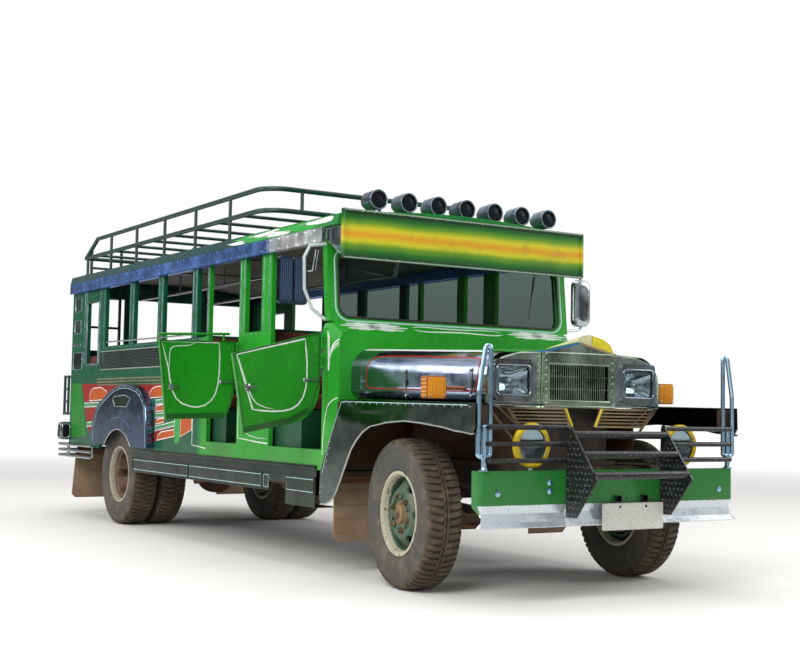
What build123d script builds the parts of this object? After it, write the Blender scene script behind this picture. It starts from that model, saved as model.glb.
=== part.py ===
from build123d import *
from math import cos, pi, radians, sin
import os

# A long passenger jeepney: a truck chassis with a stainless jeep front and an open-sided coach body.
# Millimetres, X forward, Y to the vehicle's left, Z up from the ground. The vehicle is drawn about
# the middle of its front axle and shifted at the end, so that the origin is on the ground under the
# middle of the whole.

# Running gear
wheelbase = 4316
tyre_radius = 405
bead_radius = 222
flange_radius = 228
track_y = 753
dual_outer_y = 765
dual_inner_y = 525
dual_mount_y = (dual_outer_y + dual_inner_y) / 2
kingpin_y = 610
kingpin_radius = 17
steer_arm = 150
axle_z = tyre_radius
shaft_play = 0.05
seat_gap = 0.2
rest_steer = -6.5
spindle_radius = 27
rear_tube_radius = 50
rear_spindle_radius = 42

# Chassis
rail_y = 375
rail_width = 60
rail_height = 130
rail_top = 690
rail_low = rail_top - rail_height
rail_wall = 8
rail_front = 600
rail_rear = -5560
spring_width = 56
spring_half = 560
leaf = 10

# Body
body_half = 895
wall = 30
body_front = -805
body_rear = -5480
floor_top = 720
floor_sheet = 22
skirt_low = 600
sill_z = 1455
low_sill_z = 1313
window_top = 1950
roof_edge_z = 2035
roof_half = 925
roof_rear = -5520
roof_front = -611
roof_crown = 2160
roof_sheet = 28
roof_rim = 40

# Front
front_face = 445
cowl_front = -655
cowl_half = 866
cowl_low = 608
pillar_x = -735
pillar_lean = 5.8
ledge_z = 1478
sheet = 4
face_thick = 20
fender_half = 899
fender_inner = 412
bumper_front = 760
bumper_rear_edge = 690
bumper_half = 864
bumper_top = 668
bumper_sheet = 6

# Doors: hinge line, thickness and how far the open pair stands open, in degrees
hinge_y = 912
door_thick = 20
door_gap = 7
door_open = 95
hinge_pin = 6


def block(x0, x1, y0, y1, z0, z1):
    """Rectangular solid between two corners."""
    middle = Pos((x0 + x1) / 2, (y0 + y1) / 2, (z0 + z1) / 2)
    return middle * Box(abs(x1 - x0), abs(y1 - y0), abs(z1 - z0))


def side_plate(points, y0, y1):
    """Outline given as (x, z), from y0 to y1."""
    outline = make_face(Polyline([(x, y0, z) for x, z in points], close=True))
    return extrude(outline, amount=y1 - y0, dir=(0, 1, 0))


def cross_plate(points, x0, x1):
    """Outline given as (y, z), from x0 to x1."""
    outline = make_face(Polyline([(x0, y, z) for y, z in points], close=True))
    return extrude(outline, amount=x1 - x0, dir=(1, 0, 0))


def curved_face(start, *runs):
    """Face inside straight and curved runs: a run is its end point, or a middle and an end point."""
    edges = []
    here = start
    for run in runs:
        if len(run) == 2:
            edges.append(Line(here, run))
        else:
            edges.append(ThreePointArc(here, run[:2], run[2:]))
        here = run[-2:]
    if here != start:
        edges.append(Line(here, start))
    return make_face(edges)


def side_solid(face, y0, y1):
    """A face drawn in (x, z), from y0 to y1."""
    plane = Plane(origin=(0, y0, 0), x_dir=(1, 0, 0), z_dir=(0, -1, 0))
    return extrude(plane * face, amount=y0 - y1)


def cross_solid(face, x0, x1):
    """A face drawn in (y, z), from x0 to x1."""
    plane = Plane(origin=(x0, 0, 0), x_dir=(0, 1, 0), z_dir=(1, 0, 0))
    return extrude(plane * face, amount=x1 - x0)


def rounded_block(y0, y1, z0, z1, corner, x0, x1):
    """Block with rounded corners as seen from the front."""
    plane = Plane(origin=(x0, (y0 + y1) / 2, (z0 + z1) / 2), x_dir=(0, 1, 0), z_dir=(1, 0, 0))
    return extrude(plane * RectangleRounded(abs(y1 - y0), z1 - z0, corner), amount=x1 - x0)


def bar(start, end, radius, bore=0):
    """Round bar or tube from one point to another."""
    run = Vector(*end) - Vector(*start)
    plane = Plane(origin=start, z_dir=run)
    piece = extrude(plane * Circle(radius), amount=run.length)
    if bore:
        piece -= extrude(plane * Circle(bore), amount=run.length)
    return piece


def bent_tube(points, bend, radius):
    """Round bar along straight runs joined by arcs of one bend radius."""
    path = FilletPolyline(*points, radius=bend)
    section = Plane(origin=path @ 0, z_dir=path % 0) * Circle(radius)
    return sweep(section, path)


def turned(points, y_mid):
    """Solid turned about the wheel's axis, from (offset, radius) points; y_mid is where offset is 0."""
    outline = make_face(Polyline([(0, y, r) for y, r in points], close=True))
    ring = revolve(outline, axis=Axis((0, 0, 0), (0, 1, 0)), revolution_arc=360)
    return Pos(0, y_mid, axle_z) * ring


def flip(piece):
    """The same piece on the other side of the vehicle."""
    return mirror(piece, about=Plane.XZ)


def join(pieces):
    """All pieces fused into one."""
    whole = pieces[0]
    for piece in pieces[1:]:
        whole += piece
    return whole


def group(pieces):
    """Separate solids that share a node."""
    return Compound([solid for piece in pieces for solid in piece.solids()])


def both(piece):
    """A piece and its twin on the other side, as separate solids."""
    return group([piece, flip(piece)])


nodes = {}

# Leaf springs under the rails, from eye to eye, with the axles below them
springs = [
    # axle x, underside of the pack, leaves, eye height
    (0, 400, 4, 520),
    (-wheelbase, 470, 5, 536),
]
eye_radius = 18
hanger_sheet = 8


def leaf_band(axle_x, top_z, rise, half, shell, y0):
    """One curved leaf: half its length, and how many leaves above it."""
    bow = (spring_half**2 + rise**2) / (2 * rise)
    centre_z = top_z + bow
    upper = bow + shell * leaf
    lower = upper + leaf

    def at(radius, x):
        return (axle_x + x, y0, centre_z - (radius**2 - x**2) ** 0.5)

    edges = [
        ThreePointArc(at(upper, -half), at(upper, 0), at(upper, half)),
        Line(at(upper, half), at(lower, half)),
        ThreePointArc(at(lower, half), at(lower, 0), at(lower, -half)),
        Line(at(lower, -half), at(upper, -half)),
    ]
    return extrude(make_face(edges), amount=spring_width, dir=(0, 1, 0))


def spring_pack(axle_x, seat_z, leaves, eye_z):
    top_z = seat_z + leaves * leaf
    y0 = rail_y - spring_width / 2
    rise = eye_z - top_z
    parts = []
    for shell in range(leaves):
        half = spring_half * (1 - 0.17 * shell)
        parts.append(leaf_band(axle_x, top_z, rise, half, shell, y0))
    for end in (-1, 1):
        x = axle_x + end * spring_half
        parts.append(bar((x, y0, eye_z), (x, y0 + spring_width, eye_z), eye_radius))
    return join(parts)


packs = [spring_pack(*row) for row in springs]
nodes["leaf_springs"] = group(packs + [flip(pack) for pack in packs])

# Chassis frame: two channel rails with the bumper's horns, spring hangers and the flaps' arms
cross_rows = [520, -1250, -2050, -2900, -3650, -5000, -5500]
cross_half = 35
horn_half = 22
horn_top = 650
web_y = rail_y + rail_width / 2 - rail_wall
flap_hangers = [-700, -5340]
flap_top = 566
arm_height = 30
arm_end = 870
hanger_half = 35


def channel_rail():
    outer = block(rail_rear, rail_front, rail_y - rail_width / 2, rail_y + rail_width / 2, rail_low, rail_top)
    hollow = block(rail_rear, rail_front, rail_y - rail_width, web_y, rail_low + rail_wall, rail_top - rail_wall)
    horn = block(
        rail_front - 45, bumper_front - bumper_sheet, rail_y - horn_half, rail_y + horn_half, rail_low, horn_top,
    )
    parts = [outer - hollow, horn]
    for axle_x, seat_z, leaves, eye_z in springs:
        for end in (-1, 1):
            x = axle_x + end * spring_half
            for y0 in (rail_y - spring_width / 2 - hanger_sheet, rail_y + spring_width / 2):
                parts.append(block(x - hanger_half, x + hanger_half, y0, y0 + hanger_sheet,
                                   eye_z - 25, rail_low + rail_wall))
    for x in flap_hangers:
        parts.append(block(x - 12, x + 18, web_y + 4, arm_end, flap_top, flap_top + arm_height))
    return join(parts)


nodes["frame_rails"] = both(channel_rail())
nodes["cross_members"] = group([
    block(x - cross_half, x + cross_half, -web_y, web_y, rail_low + 20, rail_top - 15) for x in cross_rows
])

# Front axle: dropped I-beam with a solid eye and its locked kingpin at each end
beam_half = 35
beam_pocket = 22
fist_radius = 38
fist_half = 45
ear_gap = 2
ear_height = 38
kingpin_half = fist_half + ear_gap + ear_height
beam_outline = [
    (0, 318), (430, 318), (560, fist_half + 318), (kingpin_y, fist_half + 318),
    (kingpin_y, axle_z + fist_half - 6), (540, axle_z + fist_half - 6), (430, 400), (0, 400),
]
pocket_outline = [(0, 334), (425, 334), (545, 379), (540, 425), (440, 385), (0, 385)]


def mirrored_outline(points):
    return points + [(-y, z) for y, z in reversed(points) if y]


beam = cross_plate(mirrored_outline(beam_outline), -beam_half, beam_half)
for x0, x1 in ((-beam_half, -beam_half + beam_pocket), (beam_half - beam_pocket, beam_half)):
    beam -= cross_plate(mirrored_outline(pocket_outline), x0, x1)
for side in (-1, 1):
    y = side * kingpin_y
    beam += bar((0, y, axle_z - fist_half), (0, y, axle_z + fist_half), fist_radius)
    beam += bar((0, y, axle_z - kingpin_half), (0, y, axle_z + kingpin_half), kingpin_radius)
nodes["front_axle"] = beam

# Steering knuckle: a fork on the kingpin, the stub axle, the brake's back plate and the steering arm
ear_radius = 34
fork_y = 650
fork_half_x = 42
plate_y = 690
hub_inner_y = 700
hub_outer_y = 806
ball_radius = 9
rod_z = axle_z - fist_half - ear_gap - ear_height / 2
rod_radius = 11
rod_eye_radius = 24


def knuckle():
    parts = []
    for z0 in (axle_z + fist_half + ear_gap, axle_z - fist_half - ear_gap - ear_height):
        ear = bar((0, kingpin_y, z0), (0, kingpin_y, z0 + ear_height), ear_radius)
        ear += block(-ear_radius, ear_radius, kingpin_y, fork_y + 20, z0, z0 + ear_height)
        parts.append(ear)
    parts.append(block(-fork_half_x, fork_half_x, fork_y + 5, plate_y, axle_z - kingpin_half, axle_z + kingpin_half))
    parts.append(bar((0, plate_y - 6, axle_z), (0, plate_y, axle_z), 150))
    parts.append(bar((0, plate_y, axle_z), (0, hub_outer_y, axle_z), spindle_radius))
    arm_z = rod_z - ear_height / 2
    arm = block(-steer_arm, 0, kingpin_y - 16, kingpin_y + 16, arm_z, arm_z + 16)
    arm += bar((-steer_arm, kingpin_y, arm_z), (-steer_arm, kingpin_y, arm_z + 16), 20)
    arm += bar((-steer_arm, kingpin_y, arm_z - 34), (-steer_arm, kingpin_y, arm_z + 16), ball_radius)
    parts.append(arm)
    piece = join(parts)
    piece -= bar((0, kingpin_y, 0), (0, kingpin_y, 2 * axle_z), kingpin_radius + shaft_play)
    return piece


def steered(piece, side):
    """A left piece put on its side of the vehicle and turned about that side's kingpin."""
    placed = piece if side > 0 else flip(piece)
    return placed.rotate(Axis((0, side * kingpin_y, 0), (0, 0, 1)), rest_steer)


nodes["knuckle_left"] = steered(knuckle(), 1)
nodes["knuckle_right"] = steered(knuckle(), -1)

# Track rod between the two steering arms, with an eye on each ball pin
arm_low = rod_z - ear_height / 2
track_rod_z = arm_low - 17
track_rod = bar((-steer_arm, 18 - kingpin_y, track_rod_z), (-steer_arm, kingpin_y - 18, track_rod_z), rod_radius)
for side in (-1, 1):
    y = side * kingpin_y
    track_rod += bar((-steer_arm, y, track_rod_z - 13), (-steer_arm, y, track_rod_z + 13), rod_eye_radius)
for side, play in ((-1, shaft_play), (1, 1)):
    y = side * kingpin_y
    track_rod -= bar((-steer_arm, y, 0), (-steer_arm, y, axle_z), ball_radius + play)
arm_swing = (steer_arm * (1 - cos(radians(rest_steer))), -steer_arm * sin(radians(rest_steer)), 0)
nodes["track_rod"] = Pos(*arm_swing) * track_rod

# Tyres: a rounded section on the bead seats of the rim
tyre_section = [
    # offset from the middle, radius
    (79, bead_radius), (80, 231), (92, 241), (105, 300), (101, 352), (92, 388), (78, 401), (30, tyre_radius),
]


def tyre(y_mid):
    points = tyre_section + [(-y, r) for y, r in reversed(tyre_section)]
    return turned(points, y_mid)


# Wheels: rim with rolled flanges, pressed disc with six hand holes, hub and brake drum
hand_holes = 6
hand_hole_ring = 158
hand_hole_long = 34
hand_hole_short = 22
wheel_studs = 6
stud_ring = 92
rim_profile = [
    # offset, outer radius, inner radius
    (-88, flange_radius, 213), (-82, flange_radius, 211), (-80, bead_radius, 206), (-40, 210, 196),
    (40, 210, 196), (80, bead_radius, 206), (82, flange_radius, 211), (88, flange_radius, 213),
]


def rim(y_mid):
    outer = [(y, r - seat_gap) for y, r, inner in rim_profile]
    inner = [(y, inner) for y, r, inner in reversed(rim_profile)]
    return turned(outer + inner, y_mid)


def front_wheel():
    """Left front wheel; the pressed disc bulges outwards around the hub."""
    disc = turned(
        [(0, 197), (14, 197), (30, 178), (72, 132), (72, 40), (62, 40), (62, 128), (18, 172), (0, 184)], track_y
    )
    for index in range(hand_holes):
        turn = 2 * pi * index / hand_holes
        y0 = track_y
        hole = Pos(0, y0, 0) * extrude(
            Plane(origin=(0, 0, 0), x_dir=(1, 0, 0), z_dir=(0, 1, 0))
            * Pos(hand_hole_ring, 0) * Ellipse(hand_hole_short, hand_hole_long), amount=120,
        )
        disc -= Pos(0, 0, axle_z) * (Rot(0, index * 360 / hand_holes, 0) * hole)
    hub = turned([(hub_inner_y, 66), (hub_inner_y + 60, 66), (815, 58), (840, 52), (852, 30), (852, 0),
                  (hub_outer_y + 2, 0), (hub_outer_y + 2, spindle_radius + shaft_play),
                  (hub_inner_y, spindle_radius + shaft_play)], 0)
    drum = turned([(696, 172), (770, 172), (770, 60), (760, 60), (760, 162), (696, 162)], 0)
    piece = join([rim(track_y), disc, hub, drum])
    for index in range(wheel_studs):
        turn = 2 * pi * (index + 0.3) / wheel_studs
        x, z = stud_ring * cos(turn), axle_z + stud_ring * sin(turn)
        piece += bar((x, 820, z), (x, 840, z), 13)
    return piece


def rear_wheel():
    """Left rear pair: two dished discs back to back on one hub."""
    outer_disc = turned(
        [(dual_mount_y, 130), (dual_mount_y, 70), (dual_mount_y + 10, 70), (dual_mount_y + 10, 126),
         (dual_outer_y + 34, 168), (dual_outer_y + 40, 197), (dual_outer_y + 24, 197)], 0
    )
    inner_disc = turned(
        [(dual_mount_y, 130), (dual_mount_y, 70), (dual_mount_y - 10, 70), (dual_mount_y - 10, 126),
         (dual_inner_y - 34, 168), (dual_inner_y - 40, 197), (dual_inner_y - 24, 197)], 0
    )
    for index in range(hand_holes):
        hole = extrude(
            Plane(origin=(0, 0, 0), x_dir=(1, 0, 0), z_dir=(0, 1, 0))
            * Pos(hand_hole_ring, 0) * Ellipse(hand_hole_short, hand_hole_long), amount=1000,
        )
        hole = Pos(0, 0, axle_z) * (Rot(0, index * 360 / hand_holes, 0) * hole)
        outer_disc -= hole
        inner_disc -= hole
    hub = turned([(440, 70), (700, 70), (735, 62), (735, 0), (722, 0), (722, rear_spindle_radius + shaft_play),
                  (440, rear_spindle_radius + shaft_play)], 0)
    drum = turned([(432, 170), (520, 170), (520, 60), (508, 60), (508, 160), (432, 160)], 0)
    piece = join([rim(dual_outer_y), rim(dual_inner_y), outer_disc, inner_disc, hub, drum])
    for index in range(wheel_studs):
        turn = 2 * pi * (index + 0.3) / wheel_studs
        x, z = stud_ring * cos(turn), axle_z + stud_ring * sin(turn)
        piece += bar((x, dual_mount_y + 5, z), (x, dual_mount_y + 32, z), 13)
    return piece


back = Pos(-wheelbase, 0, 0)
front_left, rear_left = front_wheel(), back * rear_wheel()
front_tyre = tyre(track_y)
rear_tyres = back * group([tyre(dual_outer_y), tyre(dual_inner_y)])
nodes["wheel_front_left"] = steered(front_left, 1)
nodes["wheel_front_right"] = steered(front_left, -1)
nodes["wheel_rear_left"] = rear_left
nodes["wheel_rear_right"] = flip(rear_left)
nodes["tyre_front_left"] = steered(front_tyre, 1)
nodes["tyre_front_right"] = steered(front_tyre, -1)
nodes["tyres_rear_left"] = rear_tyres
nodes["tyres_rear_right"] = flip(rear_tyres)

# Rear axle: banjo housing with the differential's bowl, tubes, spring pads and stub axles
axle_tube = bar((-wheelbase, -426, axle_z), (-wheelbase, 426, axle_z), rear_tube_radius)
axle_tube += bar((-wheelbase, -720, axle_z), (-wheelbase, 720, axle_z), rear_spindle_radius)
bowl = Pos(-wheelbase, 0, axle_z) * Rot(0, 90, 0) * Cylinder(165, 150)
bowl = fillet(bowl.edges().filter_by(GeomType.CIRCLE), 45)
axle_parts = [axle_tube, bowl, bar((-wheelbase + 60, 0, axle_z), (-wheelbase + 260, 0, axle_z + 10), 55)]
for side in (-1, 1):
    y = side * rail_y
    axle_parts.append(block(-wheelbase - 60, -wheelbase + 60, y - 30, y + 30, axle_z, springs[1][1]))
nodes["rear_axle"] = join(axle_parts)

# Engine with gearbox as one plain mass, and the radiator behind the grille
engine = block(-520, 300, -230, 230, 500, 1130) + block(-1120, -520, -130, 130, 440, 660)
nodes["engine_block"] = engine
radiator = block(352, 412, -240, 240, 700, 1230)
nodes["radiator"] = radiator + block(352, 412, -300, 300, 675, 700)

# Propeller shaft from the gearbox to the axle
nodes["driveshaft"] = bar((-1110, 0, 520), (-wheelbase + 255, 0, axle_z + 10), 38) - engine - nodes["rear_axle"]

# Exhaust: pipe with a silencer, out under the right side
exhaust_path = [(-330, -262, 470), (-900, -262, 440), (-3180, -262, 440), (-3260, -500, 430), (-3260, -640, 400)]
exhaust = bent_tube(exhaust_path, 60, 24)
exhaust += bar((-1750, -262, 440), (-2450, -262, 440), 62)
exhaust += block(-360, -300, -270, -230, 450, 500)
nodes["exhaust"] = exhaust

# Fuel tank hung outside the left rail
tank = block(-2600, -1900, rail_y + 40, 640, 430, 640)
tank = fillet(tank.edges().filter_by(Axis.X), 40)
for x in (-2500, -2040):
    tank += block(x, x + 40, rail_y + rail_width / 2, 500, 600, 650)
nodes["fuel_tank"] = tank

# Floor: sheet on bearers, with a box over each pair of rear wheels
house_front = -wheelbase + 460
house_rear = -wheelbase - 460
house_top = 870
house_inner = 405
inner_wall = body_half - wall
floor_low = floor_top - floor_sheet
floor = block(body_rear + wall, cowl_front - 150, -inner_wall, inner_wall, floor_low, floor_top)
for side in (-1, 1):
    floor -= block(house_rear, house_front, side * house_inner, side * inner_wall, floor_low, floor_top)
    cover = block(house_rear - 8, house_front + 8, side * (house_inner - 8), side * inner_wall,
                  floor_low, house_top)
    cover -= block(house_rear, house_front, side * house_inner, side * (inner_wall + 1),
                   floor_low - 1, house_top - 8)
    floor += cover
for x in (-1100, -1750, -2500, -3200, -5100):
    floor += block(x - 30, x + 30, -inner_wall, inner_wall, rail_top, floor_low)
nodes["floor"] = floor

# Body sides: lower panels, strips under the doorways, and posts that carry the roof
panel_front = -2480
panel_step = -4638
wheel_arch = 448
middle_panel = (-1985, -1503)
over_window = (-5105, -4806)
over_window_low = 1844
doorway_strips = [
    # rear x, front x
    (-1503, body_front),
    (panel_front, -1985),
]
post_rows = [
    # rear x, front x, foot
    (-1650, -1503, sill_z),
    (-1985, -1890, sill_z),
    (-2520, panel_front, sill_z),
    (-2794, -2692, sill_z),
    (-3460, -3341, sill_z),
    (-4075, -3959, sill_z),
    (-4806, panel_step, low_sill_z),
    (body_rear, -5105, low_sill_z),
]
rear_panel_outline = [
    (body_rear, skirt_low), (panel_front, skirt_low), (panel_front, sill_z), (panel_step, sill_z),
    (panel_step, low_sill_z), (body_rear, low_sill_z),
]
rear_panel = side_plate(rear_panel_outline, inner_wall, body_half)
rear_panel -= bar((-wheelbase, inner_wall - 1, axle_z), (-wheelbase, body_half + 1, axle_z), wheel_arch)
side_parts = [
    rear_panel,
    block(*middle_panel, inner_wall, body_half, skirt_low, sill_z),
    block(*over_window, inner_wall, body_half, over_window_low, window_top),
]
nodes["side_panels"] = both(group(side_parts))
nodes["sill_strips"] = both(group([
    block(rear_x, front_x, inner_wall, body_half, skirt_low, floor_top) for rear_x, front_x in doorway_strips
]))
nodes["window_posts"] = both(group([
    block(rear_x, front_x, inner_wall, body_half, foot, window_top) for rear_x, front_x, foot in post_rows
]))

# Rear wall: panels beside the passengers' open entry, a header over it, and upright posts that leave
# a window on either side
entry_half = 330
entry_top = 1930
rear_window = (420, 800)
rear_wall_x = (roof_rear + 10, body_rear)
rail_gap_half = rail_y + 40
entry_sill = block(*rear_wall_x, -entry_half, entry_half, rail_top, floor_top)
rear_panel_side = block(*rear_wall_x, entry_half, body_half, skirt_low, sill_z)
rear_panel_side -= block(roof_rear, body_rear + 1, entry_half - 1, rail_gap_half, skirt_low - 1, rail_top)
rear_posts_side = group([
    block(*rear_wall_x, entry_half, rear_window[0], sill_z, entry_top),
    block(*rear_wall_x, rear_window[1], body_half, sill_z, entry_top),
])
rear_header = block(*rear_wall_x, -body_half, body_half, entry_top, roof_edge_z)
nodes["rear_wall"] = group([rear_header, both(rear_panel_side)])
nodes["rear_posts"] = group([entry_sill, both(rear_posts_side)])

# Roof: a cambered shell with a rolled side band, closed at both ends
shoulder_z = 2098
shoulder_in = 14


def roof_arch(half, low, shoulder, crown):
    """Edges of the roof's section: side band, then one arc over the top."""
    return [
        Line((0, -half, low), (0, -half + shoulder_in, shoulder)),
        ThreePointArc((0, -half + shoulder_in, shoulder), (0, 0, crown), (0, half - shoulder_in, shoulder)),
        Line((0, half - shoulder_in, shoulder), (0, half, low)),
    ]


def roof_z(y):
    """Height of the roof's top at one offset from the middle."""
    return roof_crown - (roof_crown - shoulder_z) * (y / roof_half) ** 2


def roof_solid(half, low, shoulder, crown, x0, x1):
    face = make_face(roof_arch(half, low, shoulder, crown) + [Line((0, half, low), (0, -half, low))])
    return Pos(x0, 0, 0) * extrude(face, amount=x1 - x0, dir=(1, 0, 0))


roof = roof_solid(roof_half, roof_edge_z, shoulder_z, roof_crown, roof_rear, roof_front)
roof -= roof_solid(
    roof_half - roof_rim, roof_edge_z - 1, shoulder_z - roof_sheet, roof_crown - roof_sheet,
    body_rear, roof_front - 40,
)
nodes["roof"] = roof

# Window header along each side with the stainless drip strip hung from its top edge
strip_out = roof_half + 6
strip_low = 1947
strip = block(-5505, -790, body_half, strip_out, strip_low, roof_edge_z)
strip -= block(-5506, -789, body_half - 1, roof_half, strip_low - 1, roof_edge_z - 8)
strip += block(body_rear, body_front, inner_wall, body_half, window_top, roof_edge_z)
nodes["gutter_strips"] = both(strip)

# Windscreen frame: a leaning surround with one rounded opening, and its glass
glass_half = 827
glass_low = 1505
glass_top = 1902
glass_corner = 70
frame_depth = 55
surround_top = 1972
lean_axis = Axis((pillar_x, 0, ledge_z), (0, -1, 0))


def screen_block(x0, x1):
    return rounded_block(-glass_half, glass_half, glass_low, glass_top, glass_corner, x0, x1)


surround = block(pillar_x - frame_depth, pillar_x, -body_half, body_half, ledge_z, surround_top)
surround -= screen_block(pillar_x - frame_depth - 1, pillar_x + 1)
surround = surround.rotate(lean_axis, pillar_lean)
surround -= block(-900, -600, -1000, 1000, 1300, ledge_z)
header = block(-800, roof_front - 42, -body_half, body_half, window_top, roof_edge_z)
nodes["windscreen_frame"] = surround + header - nodes["gutter_strips"] - nodes["roof"]
windscreen = screen_block(pillar_x - 30, pillar_x - 24).rotate(lean_axis, pillar_lean) - nodes["windscreen_frame"]

# Cowl: rounded scuttle with the sloping ledge under the windscreen, open to the cab
def cowl_section(half, top, low, corner, x):
    outline = [
        (half, low), (half, top - corner), (half - corner * 0.3, top - corner * 0.3),
        (half - corner, top), (corner - half, top), (corner * 0.3 - half, top - corner * 0.3),
        (-half, top - corner), (-half, low),
    ]
    return make_face(Polyline([(x, y, z) for y, z in outline], close=True))


cowl = loft([cowl_section(cowl_half, 1425, cowl_low, 60, cowl_front),
             cowl_section(body_half, ledge_z, cowl_low, 40, pillar_x)])
cowl += loft([cowl_section(body_half, ledge_z, cowl_low, 40, pillar_x),
              cowl_section(body_half, ledge_z, cowl_low, 40, body_front)])
hollow = loft([cowl_section(cowl_half - 25, 1400, cowl_low - 1, 60, cowl_front - 20),
               cowl_section(body_half - wall, ledge_z - 25, cowl_low - 1, 40, pillar_x - 5)])
hollow += loft([cowl_section(body_half - wall, ledge_z - 25, cowl_low - 1, 40, pillar_x - 5),
                cowl_section(body_half - wall, ledge_z - 25, cowl_low - 1, 40, body_front - 1)])
nodes["cowl"] = cowl - hollow - block(-850, -600, -rail_y - 45, rail_y + 45, 500, rail_top)
nodes["floor"] -= nodes["cowl"]

# Barrel-shaped hood sides and the hood between them with its low ridge
barrel_rows = [
    # x, half width, low edge, top height
    (cowl_front, 784, 1026, 1314),
    (front_face - face_thick, 592, 1006, 1280),
]
barrel_in = 122
hood_ridge = (22, 36)
eave_half = 252


def barrel_edge(half, low, top):
    """Section of the hood side: rolled in at the foot, an upright flank, rolled over at the top."""
    foot = half - 53, low
    flank_low, flank_top = (half, low + 71), (half, top - 128)
    return [
        ThreePointArc(foot, (half - 14, low + 18), flank_low),
        Line(flank_low, flank_top),
        ThreePointArc(flank_top, (half - 36, top - 38), (half - barrel_in, top)),
    ]


def barrel_shell(x, half, low, top):
    outer = barrel_edge(half, low, top)
    inner = barrel_edge(half - sheet, low, top - sheet)
    ends = [Line(outer[0] @ 0, inner[0] @ 0), Line(outer[-1] @ 1, inner[-1] @ 1)]
    return Plane(origin=(x, 0, 0), x_dir=(0, 1, 0), z_dir=(1, 0, 0)) * make_face(outer + inner + ends)


hood_side = loft([barrel_shell(*row) for row in barrel_rows], ruled=True)
nodes["hood_sides"] = both(hood_side)


def hood_face(row, ridge):
    x, half, low, edge_z = row
    edge_y = half - barrel_in - sheet - 0.5
    top = [(edge_y, edge_z), (eave_half, edge_z + ridge / 2), (0, edge_z + ridge)]
    top += [(-y, z) for y, z in reversed(top[:-1])]
    low_line = [(y, z - sheet) for y, z in reversed(top)]
    return make_face(Polyline([(x, y, z) for y, z in top + low_line], close=True))


hood = loft([hood_face(row, ridge) for row, ridge in zip(barrel_rows, hood_ridge[::-1])], ruled=True)

# Domed scoop on the hood's left half, behind the grille's peak
scoop_rows = [
    # x, then (y, z) from its inner foot over the crown to its outer foot
    (front_face - face_thick,
     [(8, 1305), (16, 1350), (60, 1384), (110, 1390), (205, 1369), (256, 1341), (288, 1280)]),
    (110, [(40, 1305), (50, 1322), (80, 1332), (120, 1334), (180, 1326), (210, 1318), (226, 1290)]),
]
scoop = loft([
    make_face(Polyline([(x, y, z) for y, z in points], close=True)) for x, points in scoop_rows
], ruled=True)
nodes["hood"] = hood + scoop

# Headlamp panel: stainless face with rounded shoulders, a return behind it and two square lamp holes
lamp_y = 437
lamp_z = 1129
lamp_wide = 248
lamp_tall = 222
opening_wide = 212
opening_tall = 148
panel_low = 985
panel_face = curved_face(
    (250, panel_low), (530, panel_low), (598, 998), (598, 1130), (566, 1207, 492, 1254), (380, 1280, 250, 1284),
)
panel_back = front_face - face_thick


def lamp_block(wide, tall, corner, x0, x1):
    """Rounded block about the headlamp's middle."""
    return rounded_block(lamp_y - wide / 2, lamp_y + wide / 2, lamp_z - tall / 2, lamp_z + tall / 2, corner, x0, x1)


face_panel = cross_solid(panel_face, panel_back, front_face)
face_panel -= lamp_block(lamp_wide, lamp_tall, 24, panel_back - 1, front_face + 1)

# Grille: pedimented shell with upright bars set back in its opening
grille_half = 250
grille_low = 988
grille_eave = 1286
grille_peak = 1344
grille_depth = 45
bars_half = 206
bars_low = 1029
bars_top = 1217
bars_back = panel_back + 5
bars_front = panel_back + 25
bar_count = 27
bar_thick = 5
grille_outline = [
    (-grille_half, grille_low), (grille_half, grille_low), (grille_half, grille_eave),
    (0, grille_peak), (-grille_half, grille_eave),
]
grille = cross_plate(grille_outline, panel_back, panel_back + grille_depth)
grille -= block(panel_back - 1, panel_back + grille_depth + 1, -bars_half, bars_half, bars_low, bars_top)
pitch = 2 * bars_half / bar_count
for index in range(1, bar_count):
    y = -bars_half + index * pitch
    grille += block(bars_back, bars_front, y - bar_thick / 2, y + bar_thick / 2, bars_low, bars_top)
for z in (bars_low + 60, bars_low + 128):
    grille += block(bars_back, bars_back + 6, -bars_half, bars_half, z - 4, z + 4)
nodes["grille"] = grille

# Square headlamps: chrome bezel with a stepped rim, and a crowned lens behind it
lens_play = 4
bezel = lamp_block(lamp_wide - 2, lamp_tall - 2, 23, front_face - 60, front_face + 14)
bezel -= lamp_block(opening_wide, opening_tall, 18, front_face - 52, front_face + 15)
headlamp_lens = lamp_block(opening_wide - lens_play, opening_tall - lens_play, 16, front_face - 52, front_face + 4)

# Fog lamps: spun bowls on stalks behind the bumper's edge
fog_y = 510
fog_z = 793
fog_radius = 98
fog_front = 722
stalk_x = 702


def turned_x(points, x_base, y, z):
    """Solid turned about a fore-and-aft line, from (forward offset, radius) points."""
    outline = make_face(Polyline([(x, 0, r) for x, r in points], close=True))
    ring = revolve(outline, axis=Axis((0, 0, 0), (1, 0, 0)), revolution_arc=360)
    return Pos(x_base, y, z) * ring


fog_bowl = turned_x([(0, fog_radius), (-18, fog_radius), (-55, 84), (-84, 46), (-92, 0), (-86, 0),
                     (-78, 42), (-50, 78), (-16, fog_radius - 10), (0, fog_radius - 10)], fog_front, fog_y, fog_z)
fog_bowl += bar((stalk_x, fog_y, bumper_top), (stalk_x, fog_y, fog_z - fog_radius + 8), 12)
fog_lens = turned_x([(-12, 0), (-12, fog_radius - 11), (-4, fog_radius - 11), (2, 60), (5, 0)],
                    fog_front, fog_y, fog_z)
nodes["lamp_bodies"] = group([both(bezel), both(fog_bowl)])
nodes["glass"] = group([windscreen, both(headlamp_lens), both(fog_lens)])

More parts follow.
